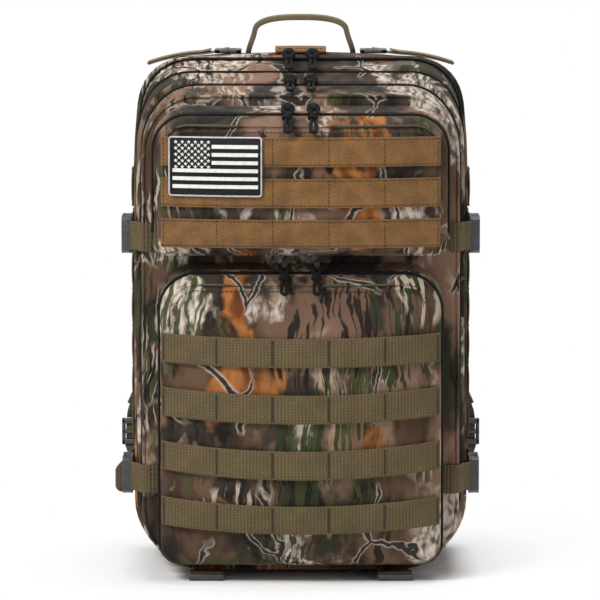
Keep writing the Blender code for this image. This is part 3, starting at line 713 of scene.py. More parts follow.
def section(half, low, high, inset=0.0):
    points = outline(half - inset, low + inset, high - inset, lowCorner - inset, topCorner - inset)
    return [(x * narrowed(z), z) for x, z in points]


def mixedSection(first, second, share):
    return section(*[between(a, b, share) for a, b in zip(first, second)])


def shrunk(loop, shares):
    # Smaller copies of a loop about its middle, to fill a panel
    middle = sum((Vector(point) for point in loop), Vector()) / len(loop)
    return [[tuple(middle + (Vector(point) - middle) * share) for point in loop] for share in shares]


# The three sewn layers; each is drawn in at its zips. A section is half width, bottom and top
seamDeep, zipGap, rim, rise, edgeRound = 0.0025, 0.0004, 0.004, 0.014, 0.010
panelShares = (0.9, 0.75, 0.58, 0.4, 0.22, 0.08)
secondHalf = 0.142
mainSeam = (midHigh.x - 0.0005, midLow.z, topMain - seamDeep)
secondSeam = (secondHalf - 0.0005, midLow.z + 0.001, topSecond - seamDeep)
# How deep, how fine and from which place in the noise each cloth sinks
sinks = {"rear": (0.0016, 24.0, 3.1), "middle": (0.0014, 30.0, 8.4), "divider": (0.0012, 20.0, 5.0),
         "front": (0.0014, 26.0, 12.7), "gusset": (0.0012, 40.0, 4.2), "panel": (0.0024, 30.0, 6.6)}
# How far from a seam it comes to its full sink
ease = {"rear": 0.02, "floor": 0.03, "zip": 0.015, "gusset": 0.012, "panel": 0.01}
wallGap = 0.004


def rimLoops(full, seam, start, end, steps=5):
    # The rear side of a zip: full until the last bit, then rolled down to the tape
    loops = []
    for step in range(steps + 1):
        turn = pi / 2 * step / steps
        loops.append(atDepth(mixedSection(full, seam, 1 - cos(turn)), between(start, end, sin(turn))))
    return loops


def riseLoops(full, seam, start, end, steps=6):
    # The front side of a zip: from the tape, up to the full section
    return [atDepth(mixedSection(seam, full, sin(pi / 2 * step / steps)), between(start, end, step / steps))
            for step in range(steps + 1)]


def wallLoops(half, low, topStart, topEnd, start, end, steps):
    return [atDepth(section(half, low, between(topStart, topEnd, share)), between(start, end, share))
            for share in shares(steps)]


def roundLoops(half, low, high, y, way, steps=5):
    # A sewn edge rolled into its panel; way is +1 toward the back
    loops = []
    for step in range(steps + 1):
        turn = pi / 2 * step / steps
        points = section(half, low, high, edgeRound * (1 - cos(turn)))
        loops.append(atDepth(points, y - way * edgeRound * (1 - sin(turn))))
    return loops


def makeRear():
    half, low = rearHigh.x, rearLow.z
    edge = roundLoops(half, low, topBack, backY, 1)
    loops = shrunk(edge[-1], panelShares)[::-1] + edge[::-1]
    start, end = backY - edgeRound - wallGap, mainZipY + rim + wallGap
    loops += wallLoops(half, low, topBack, between(topBack, topMain, 0.9), start, end, 9)
    loops += rimLoops((half, low, topMain), mainSeam, mainZipY + rim, mainZipY + zipGap)
    piece = meshPiece("rearCloth", *skin(loops, capFirst=True), "pack", camo)
    for vertex in piece.data.vertices:
        vertex.co.z += arched(*vertex.co)
    crumple(piece, *sinks["rear"],
            lambda p: min(1.0, (p.y - mainZipY) / ease["rear"]) * min(1.0, p.z / ease["floor"]))
    finished(lined(piece), "rear_shell", slot="camo_fabric")


# Pinch round the middle layer: distance from its middle, and depth
middlePinch = ((0.006, 0), (0.0025, 0.0003), (0.0012, 0.0014), (0.0004, 0.0026), (-0.0004, 0.0026),
               (-0.0012, 0.0014), (-0.0025, 0.0003), (-0.006, 0), (-0.012, 0))
dividerSize = {"inset": 0.002, "behind": 0.0015, "thick": 0.001}


def makeMid():
    half, low = midHigh.x, midLow.z
    slope = (topMain - topSecond) / (mainZipY - secondZipY)
    loops = riseLoops((half, low, topMain - slope * rise), mainSeam, mainZipY - zipGap, mainZipY - rise)
    middle = (mainZipY + secondZipY) / 2
    topMid = (topMain + topSecond) / 2
    for offset, inset in middlePinch:
        loops.append(atDepth(section(half, low, topMid + slope * offset, inset), middle + offset))
    loops += rimLoops((half, low, topSecond + slope * rim), secondSeam, secondZipY + rim, secondZipY + zipGap)
    piece = meshPiece("middleCloth", *skin(loops), "main_front", camo)
    crumple(piece, *sinks["middle"],
            lambda p: min(1.0, abs(p.y - secondZipY) / ease["zip"], abs(p.y - mainZipY) / ease["zip"]))
    lined(piece)
    half, low, high = secondSeam
    inset = dividerSize["inset"]
    inside = section(half - inset, low + inset, high - inset)
    wall = shrunk(atDepth(inside, secondZipY + dividerSize["behind"]), (1.0,) + panelShares)
    divider = meshPiece("divider", *skin(wall, capLast=True), "main_front", lining)
    crumple(divider, *sinks["divider"])
    thicken(divider, dividerSize["thick"], 1.0)
    finished(joined("middleShell", [piece, divider], "main_front"), "mid_shell", slot="camo_fabric")


def makeFront():
    half, low = secondHalf, midLow.z
    loops = riseLoops((half, low, topSecond - 0.002), secondSeam, secondZipY - zipGap, secondZipY - rise)
    start, end = secondZipY - rise - 0.003, faceY + edgeRound + 0.002
    loops += wallLoops(half, low, topSecond - 0.003, topFace, start, end, 4)
    edge = roundLoops(half, low, topFace, faceY, -1)
    loops += edge + shrunk(edge[-1], panelShares)
    piece = meshPiece("frontCloth", *skin(loops, capLast=True), "front", camo)
    crumple(piece, *sinks["front"], lambda p: min(1.0, abs(p.y - secondZipY) / ease["zip"]))
    finished(lined(piece), "front_shell", slot="camo_fabric")


def pocketSection(flap, inset=0.0, rise=0.0):
    rLow, rHigh = [max(0.004, radius - inset) for radius in flap["corners"]]
    low, high = flap["low"].z + inset, flap["high"].z - inset + rise
    return outline(flap["half"] - inset, low, high, rLow, rHigh, 8, 22)


gussetShares = (0.0, 0.06, 0.15, 0.3, 0.45, 0.6, 0.75, 0.86, 0.92, 0.96, 1.0)


def makeGusset(which):
    flap = flaps[which]
    loops = []
    for share in gussetShares:
        pinch = seamDeep * max(0.0, share * 8 - 7) ** 2 + 0.001 * eased(max(0.0, 1 - share * 5))
        points = pocketSection(flap, pinch, pocketSlope * (1 - share))
        loops.append(atDepth(points, between(faceY + 0.0005, pocketY + zipGap, share)))
    piece = meshPiece(which + "Gusset", *skin(loops), "front", camo)
    crumple(piece, *sinks["gusset"], lambda p: min(1.0, abs(p.y - pocketY) / ease["gusset"]))
    finished(lined(piece), slot="camo_fabric")


# Pocket fronts: crowned panels with a rolled lip and a sewn groove along the top
panel = {"acrossPower": 2.2, "uprightPower": 5.0, "turn": 0.007, "lipStart": 0.0034, "lipSteps": 6,
         "tapeSide": (zipGap, 0.0016, 0.0026), "stitches": 0.0152, "seamDown": 0.070, "seamFade": 0.030,
         "flat": 0.004,
         "groove": ((0.0100, 0.0), (0.0108, 0.0004), (0.0115, 0.0022), (0.0122, 0.0022), (0.0129, 0.0004),
                    (0.0138, 0.0)),
         "shares": (0.95, 0.9, 0.84, 0.77, 0.7, 0.62, 0.54, 0.46, 0.38, 0.3, 0.22, 0.14, 0.05)}
lipRise = lip - panel["lipStart"]


def flapCrown(which, x, z):
    flap = flaps[which]
    low, high = flap["low"].z, flap["high"].z
    sideways = min(1.0, abs(x) / flap["half"])
    upright = min(1.0, abs(2 * z - low - high) / (high - low))
    return flap["crown"] * (1 - sideways ** panel["acrossPower"]) * (1 - upright ** panel["uprightPower"])


def edgeDrop(inset):
    # How far the lip has rolled back at a distance inside the pocket's edge
    near = max(0.0, 1 - max(0.0, inset - seamDeep) / panel["turn"])
    return lipRise * (1 - sqrt(max(0.0, 1 - near * near)))


def onFlap(which, x, z, lift):
    flap = flaps[which]
    inset = min(flap["half"] - abs(x), z - flap["low"].z, flap["high"].z - z)
    return Vector((x, pocketY - lip - flapCrown(which, x, z) - lift + edgeDrop(inset), z))


def upperPart(flap, z):
    # The front panel's seam shows along the top and fades out down the sides
    return eased((z - flap["high"].z + panel["seamDown"]) / panel["seamFade"])


def makeFlap(which):
    flap = flaps[which]
    body = which + "_flap"
    loops = [atDepth(pocketSection(flap, seamDeep), pocketY - ahead) for ahead in panel["tapeSide"]]
    for step in range(panel["lipSteps"] + 1):
        turn = pi / 2 * step / panel["lipSteps"]
        points = pocketSection(flap, seamDeep + panel["turn"] * (1 - cos(turn)))
        base = pocketY - panel["lipStart"] - lipRise * sin(turn)
        loops.append([(x, base - flapCrown(which, x, z), z) for x, z in points])
    for inset, deep in panel["groove"]:
        inner = pocketSection(flap, inset)
        loops.append([onFlap(which, x, z, -deep * upperPart(flap, z)) for x, z in inner])
    middle = (flap["low"].z + flap["high"].z) / 2
    for share in panel["shares"]:
        loops.append([onFlap(which, x * share, between(middle, z, share), 0) for x, z in inner])
    piece = meshPiece(which + "Front", *skin(loops, capLast=True), body, camo)
    crumple(piece, *sinks["panel"], lambda p: clamped((pocketY - panel["flat"] - p.y) / ease["panel"]))
    stitch(body, [onFlap(which, x, z, 0.0001) for x, z in pocketSection(flap, panel["stitches"])
                  if upperPart(flap, z) > 0.9], facingFront)
    finished(lined(piece), which + "_pocket_flap", slot="camo_fabric")


def makePipingOrShadeLine(name, points, y, body, material=camo, radius=0.0014):
    # Piping sewn into a panel's edge, or a thin dark tube that stands for a seam's painted shade
    path = [(x, depth, z + arched(x, depth, z)) for x, depth, z in atDepth(points, y)]
    finished(tube(name, path, radius, body, material, closed=True))


makeRear()
makeMid()
makeFront()
weltInset = edgeRound * (1 - sqrt(0.5))
# painted shade: a thin black tube along the middle seam gives its dark shaded line
seamShare, seamInset, seamShadeRadius = 0.57, 0.0002, 0.0009
makePipingOrShadeLine("middleSeam", section(midHigh.x, midLow.z, between(topMain, topSecond, seamShare), seamInset),
         between(mainZipY, secondZipY, seamShare), "main_front", tapeBlack, seamShadeRadius)
makePipingOrShadeLine("frontWelt", section(secondHalf, midLow.z, topFace, weltInset), faceY + weltInset, "front")
makePipingOrShadeLine("backWelt", section(rearHigh.x, rearLow.z, topBack, weltInset), backY - weltInset, "pack")
for which in flaps:
    makeGusset(which)
    makeFlap(which)
print("cloth sewn")


# Zips: a tape and a row of teeth on each side of the seam
zipSizes = {"tape": 0.0006, "pitch": 0.0020, "teethOut": 0.0006, "teethFront": 0.0012, "teethUp": 0.0005,
            "rearEdge": (0.0016, 0.0022), "frontEdge": (0.0016, 0.0006),
            "inner": ((0.0011, 0.0008), (0.0003, 0.0003)), "lowest": 0.055,
            "above": {"upper": 0.018, "lower": 0.014}}


def ringNormals(points):
    # Outward directions, in XZ, of an outline's points
    found = []
    for i in range(len(points)):
        (x0, z0), (x1, z1) = points[i - 1], points[(i + 1) % len(points)]
        found.append(Vector((z1 - z0, 0, x0 - x1)).normalized())
    return found


def makeZip(name, points, y, rearBody, frontBody, lowest):
    path = [(Vector((x, y, z)), up) for (x, z), up in zip(points, ringNormals(points)) if z >= lowest]
    for label, way, body in (("Rear", 1, rearBody), ("Front", -1, frontBody)):
        away = Vector((0, way, 0))
        edges = (zipSizes[label.lower() + "Edge"],) + zipSizes["inner"]
        rows = [[point + away * out + up * lift for out, lift in edges] for point, up in path]
        finished(strip(f"{name}Tape{label}", rows, body, tapeBlack, zipSizes["tape"], 0.0))
        shift = away * zipSizes["teethOut"] + facingFront * zipSizes["teethFront"]
        run = [(point + shift + up * zipSizes["teethUp"], up) for point, up in path]
        if way < 0:
            # starts half a pitch on, so that the rows mesh
            first, second = run[0][0], run[1][0]
            run[0] = (first.lerp(second, zipSizes["pitch"] / 2 / (second - first).length), run[0][1])
        finished(follow(f"{name}Teeth{label}", [run], toothUnit, zipSizes["pitch"], zipBlack, body))


makeZip("main", section(*mainSeam), mainZipY, "pack", "main_front", zipSizes["lowest"])
makeZip("second", section(*secondSeam), secondZipY, "main_front", "front", zipSizes["lowest"])
for which, above in zipSizes["above"].items():
    flap = flaps[which]
    makeZip(which, pocketSection(flap, seamDeep), pocketY, "front", which + "_flap", flap["low"].z + above)
print("zips closed")


# Webbing and loop rows, with bar tacks at the cell lines
cell, cells = 0.048, 5
rowGap, rowPower, tackInset, tackTall, seamOffset = 0.0009, 0.7, 0.002, 0.84, 0.0108
rowKinds = {
    "webbing_row": {"which": "lower", "material": olive, "rise": 0.0012, "kind": "tack",
                    "slot": "olive_webbing", "bows": (0.0050, 0.0055, 0.0040, 0.0020)},
    "loop_row": {"which": "upper", "material": coyote, "rise": 0.0, "kind": "column",
                 "slot": "coyote_loop", "bows": (0.0, 0.0, 0.0)},
}
patchLow, patchHigh = corners("patch")


def bowed(x, bow):
    # A row's ends stand higher than its middle, where the stuffed pocket drags it down
    return bow * ((2 * x / (cell * cells)) ** 2 - 0.25)


def bareRuns(points, clear=0.002):
    # A seam's points in lengths that keep clear of the patch
    runs = [[]]
    for x, z in points:
        if (patchLow.x - clear < x < patchHigh.x + clear) and (patchLow.z - clear < z < patchHigh.z + clear):
            runs.append([])
        else:
            runs[-1].append((x, z))
    return [run for run in runs if len(run) > 1]


def makeRow(node, bow, which, material, rise, kind, slot, **others):
    low, high = corners(node)
    middle = (low.z + high.z) / 2
    body = which + "_flap"
    steps = 8
    rows = []
    for step in range(cells * steps + 1):
        x = cell * (step / steps - cells / 2)
        lift = rowGap + webThick / 2 + rise * abs(sin(pi * step / steps)) ** rowPower
        heights = [middle + bowed(x, bow) + web * (0.5 - k / 6) for k in range(7)]
        rows.append([onFlap(which, x, z, lift) for z in heights])
    piece = strip(node.replace("_", "."), rows, body, material, webThick)
    seams = []
    for line in range(cells + 1):
        x = cell * (line - cells / 2)
        x += tackInset if line == 0 else -tackInset if line == cells else 0.0
        level = middle + bowed(x, bow)
        seams.append([(x, level + web * (tackTall / 2 - tackTall * k / 8)) for k in range(9)])
    if kind == "column":
        for offset in (-seamOffset, seamOffset):
            seams.append([(cell * cells * (k / 40 - 0.5), middle + offset) for k in range(41)])
    for seam in seams:
        for run in bareRuns(seam) if kind == "column" else [seam]:
            stitch(body, [onFlap(which, x, z, rowGap + webThick) for x, z in run], facingFront, kind)
    finished(piece, node, slot=slot)


for name, row in rowKinds.items():
    for number, bow in enumerate(row["bows"], 1):
        makeRow(f"{name}_{number}", bow, **row)
print("rows sewn")


# Moulded flag patch: black field with a pale rim, stripes and stars in relief
patch = {"field": 0.0016, "relief": 0.0024, "sunk": 0.0012, "corner": 0.003, "borderX": 0.0036,
         "borderZ": 0.0034, "stripes": 13, "canton": 0.46, "starOut": 0.00185, "starIn": 0.00076,
         "starRows": 9, "starColumns": 6, "fieldInsets": (0.0, 0.004, 0.010, 0.018), "rimEdge": 0.0004,
         "rimWide": 0.0014, "draft": 0.0002}
patchMiddle = (patchLow + patchHigh) / 2
patchHalf = (patchHigh - patchLow) / 2
patchBase = 2 * rowGap + webThick


def onPatch(u, v, height):
    return onFlap("upper", patchMiddle.x + u, patchMiddle.z + v, patchBase + height)


def patchLoop(inset, height):
    tall = patchHalf.z - inset
    radius = max(0.0006, patch["corner"] - inset)
    points = outline(patchHalf.x - inset, -tall, tall, radius, radius, 4, 16)
    return [onPatch(u, v, height) for u, v in points]


def relief(name, loops):
    return outward(meshPiece(name, *skin(loops, True, True), "patch", rubberWhite, smooth=False))


def stripeBar(low, high, steps=14):
    # A raised bar that follows the patch's bend
    sunk, top, draft = patch["sunk"], patch["relief"], patch["draft"]
    profile = ((low[1], sunk), (low[1] + draft, top), (high[1] - draft, top), (high[1], sunk))
    loops = []
    for share in shares(steps):
        u = between(low[0], high[0], share)
        loops.append([onPatch(u, v, height) for v, height in profile])
    return relief("stripe", loops)


def star(u, v):
    ring = []
    for point in range(10):
        reach = patch["starIn"] if point % 2 else patch["starOut"]
        turn = pi / 2 + pi * point / 5
        ring.append((u + reach * cos(turn), v + reach * sin(turn)))
    heights = (patch["sunk"], patch["relief"])
    return relief("star", [[onPatch(a, b, height) for a, b in ring] for height in heights])


def makePatch():
    field, top, edge, band = patch["field"], patch["relief"], patch["rimEdge"], patch["rimWide"]
    base = [patchLoop(0.0, 0.0)] + [patchLoop(inset, field) for inset in patch["fieldInsets"]]
    pieces = [outward(meshPiece("patchField", *skin(base, True, True), "patch", rubberBlack, smooth=False))]
    rimSteps = ((0.0, 0.0003), (0.0, top - edge), (edge, top), (band - edge, top),
                (band - 0.0001, top - edge), (band, field - 0.0003))
    rimLoop = [patchLoop(inset, height) for inset, height in rimSteps]
    pieces.append(sharpen(meshPiece("patchRim", *skin(rimLoop), "patch", rubberGrey), 35))
    wide, tall = patchHalf.x - patch["borderX"], patchHalf.z - patch["borderZ"]
    stripe = 2 * tall / patch["stripes"]
    cantonWide, cantonTall = 2 * wide * patch["canton"], stripe * 7
    for number in range(6):
        high = tall - stripe * (2 * number + 1)
        start = -wide + cantonWide if number < 3 else -wide
        pieces.append(stripeBar((start, high - stripe), (wide, high)))
    rows, columns = patch["starRows"], patch["starColumns"]
    for row in range(rows):
        for place in range(columns - row % 2):
            pieces.append(star(-wide + cantonWide * (place + 0.5 + 0.5 * (row % 2)) / columns,
                               tall - cantonTall * (row + 0.5) / rows))
    finished(joined("flagPatch", pieces, "patch"), "patch", slot="patch_rubber")


makePatch()
print("patch pressed on")


# Sliders and cord pulls; each bend is given as one half and mirrored
pull = {
    "drops": {"main": 22.0, "second": 15.0, "upper": 34.0, "lower": 38.0},
    "eyeY": 0.0065, "eyeZ": 0.0052, "cord": 0.0016,
    "loop": ((0.0014, 0.0004, -0.0125), (0.0026, 0, -0.0085), (0.0041, 0, -0.0045), (0.0041, 0, -0.0012),
             (0.0024, 0, 0.0004), (0, 0, 0.0006)),
    "tail": ((0.0012, 0, -0.0165), (0.0017, 0.0004, -0.0215), (0.0024, 0.0004, -0.0280), (0.0023, 0, -0.0340),
             (0.0012, 0, -0.0362), (0, 0, -0.0368)),
    "knotWide": 0.0024, "knotDeep": 0.0022, "knotLean": 0.0012, "knotTop": -0.0122, "knotTall": 0.0062,
}


def softCopy(name, node, body, material, width, segments=2):
    # The frame's own shape with its edges rounded
    piece = added(name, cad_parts[node].data.copy())
    piece["carrier"] = body
    work = bmesh.new()
    work.from_mesh(piece.data)
    bmesh.ops.remove_doubles(work, verts=work.verts, dist=1e-5)
    bmesh.ops.dissolve_limit(work, angle_limit=radians(2), verts=work.verts, edges=work.edges)
    work.to_mesh(piece.data)
    work.free()
    piece.data.materials.clear()
    piece.data.materials.append(material)
    for polygon in piece.data.polygons:
        polygon.material_index = 0
    bevelled(piece, width, segments, 35)
    settle(piece)
    piece.data.shade_smooth()
    return sharpen(piece, 32)


def mirrored(half):
    return list(half) + [(-x, -y, z) for x, y, z in reversed(half[:-1])]


def makePull(zipName, side):
    body = f"{zipName}_pull_{side}"
    low, high = corners(f"{zipName}_slider_{side}")
    seam = {"main": mainZipY, "second": secondZipY}.get(zipName, pocketY)
    eye = Vector(((low.x + high.x) / 2, seam - pull["eyeY"], low.z + pull["eyeZ"]))
    down = Matrix.Translation(eye) @ Matrix.Rotation(radians(pull["drops"][zipName] - 90), 4, "X")
    turns = 18
    knot = []
    for step in range(turns * 2 + 1):
        turn = 2 * pi * step / turns
        knot.append((pull["knotWide"] * cos(turn) + pull["knotLean"] * sin(turn * 0.5),
                     pull["knotDeep"] * sin(turn), pull["knotTop"] - pull["knotTall"] * step / (turns * 2)))
    paths = (("loop", rounded(mirrored(pull["loop"])), 1.0), ("knot", knot, 1.1),
             ("tail", rounded(mirrored(pull["tail"])), 1.0))
    pieces = [tube(name, [down @ Vector(point) for point in path], pull["cord"] * share, body, cordBlack)
              for name, path, share in paths]
    finished(joined(f"{zipName}Pull{side}", pieces, body), f"{zipName}_pull_{side}", slot="black_cord")


for zipName in pull["drops"]:
    for side in "LR":
        node = f"{zipName}_slider_{side}"
        finished(softCopy(f"{zipName}Slider{side}", node, node, metal, 0.0004), node, slot="slider_metal")
        makePull(zipName, side)
print("sliders threaded")


# Side buckles and their straps
buckle = {"femaleEdge": 0.0009, "maleEdge": 0.0007, "neck": 0.0012, "bend": 0.009,
          "stubSeams": (0.003, 0.007), "strapSeams": (0.003, 0.012), "strapGap": 0.0006, "strapRun": 0.02}


def makeBuckle(tag, sign):
    for half, body in (("female", "front"), ("male", f"buckle_{tag}")):
        node = f"buckle_{half}_{tag}"
        piece = softCopy(f"buckle{half.capitalize()}.{tag}", node, body, plastic, buckle[half + "Edge"], 3)
        finished(piece, node, slot="black_plastic")
    low, high = corners(f"strap_stub_{tag}")
    middle = (low.z + high.z) / 2
    inner = sign * min(abs(low.x), abs(high.x))
    hug = sign * (secondHalf * narrowed(middle) + sewnGap + webThick / 2)
    neckLow, neckHigh = corners(f"buckle_female_{tag}")
    neck = sign * (min(abs(neckLow.x), abs(neckHigh.x)) + buckle["neck"])
    bend = buckle["bend"]
    front = faceY - sewnGap - webThick / 2
    turnX = hug - sign * bend
    route = [(between(inner, turnX, step / 5), front) for step in range(5)]
    for step in range(9):
        turn = pi / 2 * step / 8
        route.append((turnX + sign * bend * sin(turn), front + bend - bend * cos(turn)))
    for share in shares(8)[1:]:
        route.append((between(hug, neck, eased(share)), between(front + bend, neckLow.y + 0.001, share)))
    rows = [across((x, y, middle), downward) for x, y in route]
    piece = strip(f"strapStub.{tag}", rows, "front", olive, webThick)
    finished(piece, f"strap_stub_{tag}", slot="olive_webbing")
    for offset in buckle["stubSeams"]:
        stitch("front", across((inner + sign * offset, front - webThick / 2, middle), downward), facingFront)
    low, high = corners(f"side_strap_{tag}")
    held = sign * (rearHigh.x + sewnGap + webThick / 2)
    laid = sign * (rearHigh.x * narrowed(middle) + buckle["strapGap"] + webThick / 2)
    rows = []
    for step in range(15):
        y = between(low.y, high.y, step / 14)
        out = between(held, laid, eased((y - mainZipY) / buckle["strapRun"]))
        rows.append(across((out, y, middle), downward))
    piece = strip(f"sideStrap.{tag}", rows, "pack", olive, webThick)
    finished(piece, f"side_strap_{tag}", slot="olive_webbing")
    for offset in buckle["strapSeams"]:
        stitch("pack", across((laid + sign * webThick / 2, high.y - offset, middle), downward), alongX * sign)


for level in ("upper", "lower"):
    for side, sign in sides:
        makeBuckle(f"{level}_{side}", sign)


# Upright webbing on the rear layer's sides, tacked between the straps: bottom, top and loops of each length
sideTape = {"runs": ((0.108, 0.276, 5), (0.316, 0.350, 1)), "y": 0.050, "gap": 0.0004, "bulge": 0.0008}


def makeSideTape(side, sign, number, lowZ, highZ, loops):
    rows = []
    steps = loops * 6
    for step in range(steps + 1):
        z = between(lowZ, highZ, step / steps)
        bulge = sideTape["bulge"] * abs(sin(pi * step / 6)) ** 0.8
        out = rearHigh.x * narrowed(z) + sideTape["gap"] + webThick / 2 + bulge
        rows.append(across((sign * out, sideTape["y"], z), alongY))
    finished(strip(f"sideTape{side}{number}", rows, "pack", olive, webThick), slot="olive_webbing")
    for line in range(loops + 1):
        z = between(lowZ + 0.001, highZ - 0.001, line / loops)
        x = sign * (rearHigh.x * narrowed(z) + sideTape["gap"] + webThick)
        stitch("pack", across((x, sideTape["y"], z), alongY, web * 0.85, 9), alongX * sign, "tack")


for side, sign in sides:
    for number, run in enumerate(sideTape["runs"]):
        makeSideTape(side, sign, number, *run)
print("buckles clipped")


# Carry handle: a doubled webbing arch with sewn feet
handle = {"thick": 0.0055, "toe": 76, "toeOut": 0.0015, "shoulder": 0.041, "side": 0.008, "power": 2.6,
          "below": 0.003, "leanTall": 0.024, "slim": 0.86, "rounding": 0.0014}


def makeHandle():
    low, high = corners("carry_handle")
    thick, side, power = handle["thick"], handle["side"], handle["power"]
    foot = high.x - thick / 2
    axisY = (low.y + high.y) / 2
    start = low.z + web / 2 * sin(radians(handle["toe"]))
    top = high.z - thick / 2 - handle["below"]
    stations = []
    for step in range(7):
        turn = radians(handle["toe"] * (1 - step / 6))
        stations.append((foot, start - (web / 2 + handle["toeOut"]) * sin(turn), web / 2 * cos(turn)))
    for step in range(1, 4):
        stations.append((foot, start + side * step / 4, web / 2))
    for step in range(17):
        turn = pi / 2 * step / 16
        stations.append((foot * max(0.0, cos(turn)) ** (2 / power),
                         start + side + (top - start - side) * sin(turn) ** (2 / power), web / 2))
    lean = 1 - handle["shoulder"] / foot
    stations = [(x - lean * x * eased((z - low.z) / handle["leanTall"]), z, half) for x, z, half in stations]
    stations += [(-x, z, half) for x, z, half in reversed(stations[:-1])]
    rows = [across((x, axisY, z), alongY, 2 * half, 7) for x, z, half in stations]
    piece = strip("carryHandle", rows, "handle", handleWeb, thick * handle["slim"], handle["rounding"])
    finished(piece, "carry_handle", slot="olive_webbing")


makeHandle()


# Port cover: a stiff coyote tab, sewn along its edge
port = {"inset": 0.0004, "thick": 0.0022, "rounding": 0.0006, "bend": 0.010, "seam": 0.004, "bow": 0.0006,
        "lift": 0.0012, "seat": 0.0003}


def makePort():
    low, high = corners("port_flap")
    rows = []
    for share in shares(12):
        y = between(low.y + port["inset"], high.y - port["inset"], share)
        level = (low.z + high.z) / 2 + port["bow"] * sin(pi * share) + port["lift"] * share - port["seat"]
        places = [between(low.x + port["inset"], high.x - port["inset"], sideways) for sideways in shares(14)]
        rows.append([Vector((x, y, level + arched(x, y))) for x in places])
    piece = strip("portCover", rows, "port_cover", coyote, port["thick"], port["rounding"])
    bend, seam = port["bend"], port["seam"]
    edge = [(low.x + seam, high.y - bend), (low.x + seam, low.y + seam), (high.x - seam, low.y + seam),
            (high.x - seam, high.y - bend)]
    stitch("port_cover", [(x, y, high.z + arched(x, y)) for x, y in edge], facingUp)
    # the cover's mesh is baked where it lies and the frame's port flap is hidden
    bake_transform(piece)
    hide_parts("port_flap")


makePort()


def roundBox(name, first, second, width=0.001, body="pack"):
    # A plastic bar between two opposite corners
    low = [min(a, b) for a, b in zip(first, second)]
    high = [max(a, b) for a, b in zip(first, second)]
    points = [(x, y, z) for x in (low[0], high[0]) for y in (low[1], high[1]) for z in (low[2], high[2])]
    faces = [(0, 1, 3, 2), (4, 6, 7, 5), (0, 4, 5, 1), (2, 3, 7, 6), (0, 2, 6, 4), (1, 5, 7, 3)]
    piece = outward(meshPiece(name, points, faces, body, plastic))
    bevelled(piece, width, 3)
    settle(piece)
    piece.data.shade_smooth()
    return sharpen(piece, 40)


# Top straps: ladder lock, tail and folded end; bars are start, end and height
topStrap = {
    "long": 0.024, "wide": 0.030,
    "bars": ((0.0, 0.005, 0.0036), (0.0095, 0.0125, 0.0032), (0.0185, 0.024, 0.0036)),
    "rail": 0.0035, "railTall": 0.0036, "seat": 0.0056, "thick": 0.0013, "rounding": 0.0004,
    "threaded": ((0.011, 0.0032), (0.018, 0.0026), (0.026, 0.0006), (0.036, 0.0)),
    "drop": 0.0080, "end": 0.007, "fold": 0.0009, "tuckLong": 0.0045, "tuckUp": 0.0007,
}


def makeTopStrap(side, sign):
    node = f"lifter_strap_{side}"
    low, high = corners(node)
    inner, outer = sorted((abs(low.x), abs(high.x)))
    middle = (low.y + high.y) / 2
    wide, drop, fold = topStrap["wide"], topStrap["drop"], topStrap["fold"]
    lifted = arched(inner + topStrap["long"] / 2, middle)
    base = high.z - topStrap["seat"] + lifted
    pieces = []
    for start, end, tall in topStrap["bars"]:
        pieces.append(roundBox("bar", (sign * (inner + start), middle - wide / 2, base),
                               (sign * (inner + end), middle + wide / 2, base + tall)))
    for edge in (-1, 1):
        pieces.append(roundBox("rail", (sign * inner, middle + edge * (wide / 2 - topStrap["rail"]), base),
                               (sign * (inner + topStrap["long"]), middle + edge * wide / 2,
                                base + topStrap["railTall"])))
    level = base + webThick / 2
    route = [(inner + out, level + up) for out, up in topStrap["threaded"]]
    flat = route[-1][0]
    for share in shares(8)[1:]:
        route.append((between(flat, outer - topStrap["end"], share), level - drop * share ** 2))
    tipX, tipZ = route[-1]
    for step in range(1, 6):
        turn = -pi / 2 + pi * step / 5
        route.append((tipX + fold * cos(turn), tipZ + fold + fold * sin(turn)))
    for share in shares(8)[-2::-1]:
        route.append((between(flat, tipX, share), level - drop * share ** 2 + 2 * fold))
    for step in (1, 2):
        route.append((flat - topStrap["tuckLong"] * step, level + topStrap["tuckUp"] * step + 2 * fold))
    rows = [across((sign * x, middle, z + arched(x, middle) - lifted), alongY) for x, z in route]
    pieces.append(strip("tail", rows, "pack", handleWeb, topStrap["thick"], topStrap["rounding"]))
    finished(joined(f"topStrap{side}", pieces, "pack"), node, slot="olive_webbing")


for side, sign in sides:
    makeTopStrap(side, sign)
print("top straps laid")


# Back pad: foam columns under spacer mesh, with air channels
pad = {"corner": 0.024, "gap": 0.0004, "edge": 0.009, "groove": 0.012, "deep": 0.005, "column": 0.040,
       "acrossZ": 0.1825, "across": 74, "upright": 120, "mesh": 0.0006, "seam": 0.008, "seamEnd": 0.012,
       "seamDeep": 0.0008, "grooveShare": 0.42, "sink": (0.0009, 60.0, 1.3), "ease": 0.008}
padLow, padHigh = corners("back_pad")


def padPoint(x, z):
    half, corner = padHigh.x, pad["corner"]
    cx = max(0.0, abs(x) - (half - corner))
    cz = max(padLow.z + corner - z, z - (padHigh.z - corner), 0.0)
    if cx > 0 and cz > 0:
        reach = sqrt(cx * cx + cz * cz)
        held = min(1.0, corner / max(reach, 1e-6))
        x = (abs(x) - cx + cx * held) * (1 if x > 0 else -1)
        z = z - cz + cz * held if z > padLow.z + corner else z + cz - cz * held
        edge = corner - reach * held
    else:
        edge = min(half - abs(x), z - padLow.z, padHigh.z - z)
    near = min(1.0, edge / pad["edge"])
    foam = padHigh.y - backY - pad["gap"]
    up = foam * sqrt(max(0.0, 1 - (1 - near) ** 2))
    for offset in (abs(abs(x) - pad["column"]), abs(z - pad["acrossZ"])):
        up -= pad["deep"] * exp(-(offset / (pad["groove"] * pad["grooveShare"])) ** 4) * near
    return Vector((x, backY + pad["gap"] + max(0.0, up) - 0.0001, z))


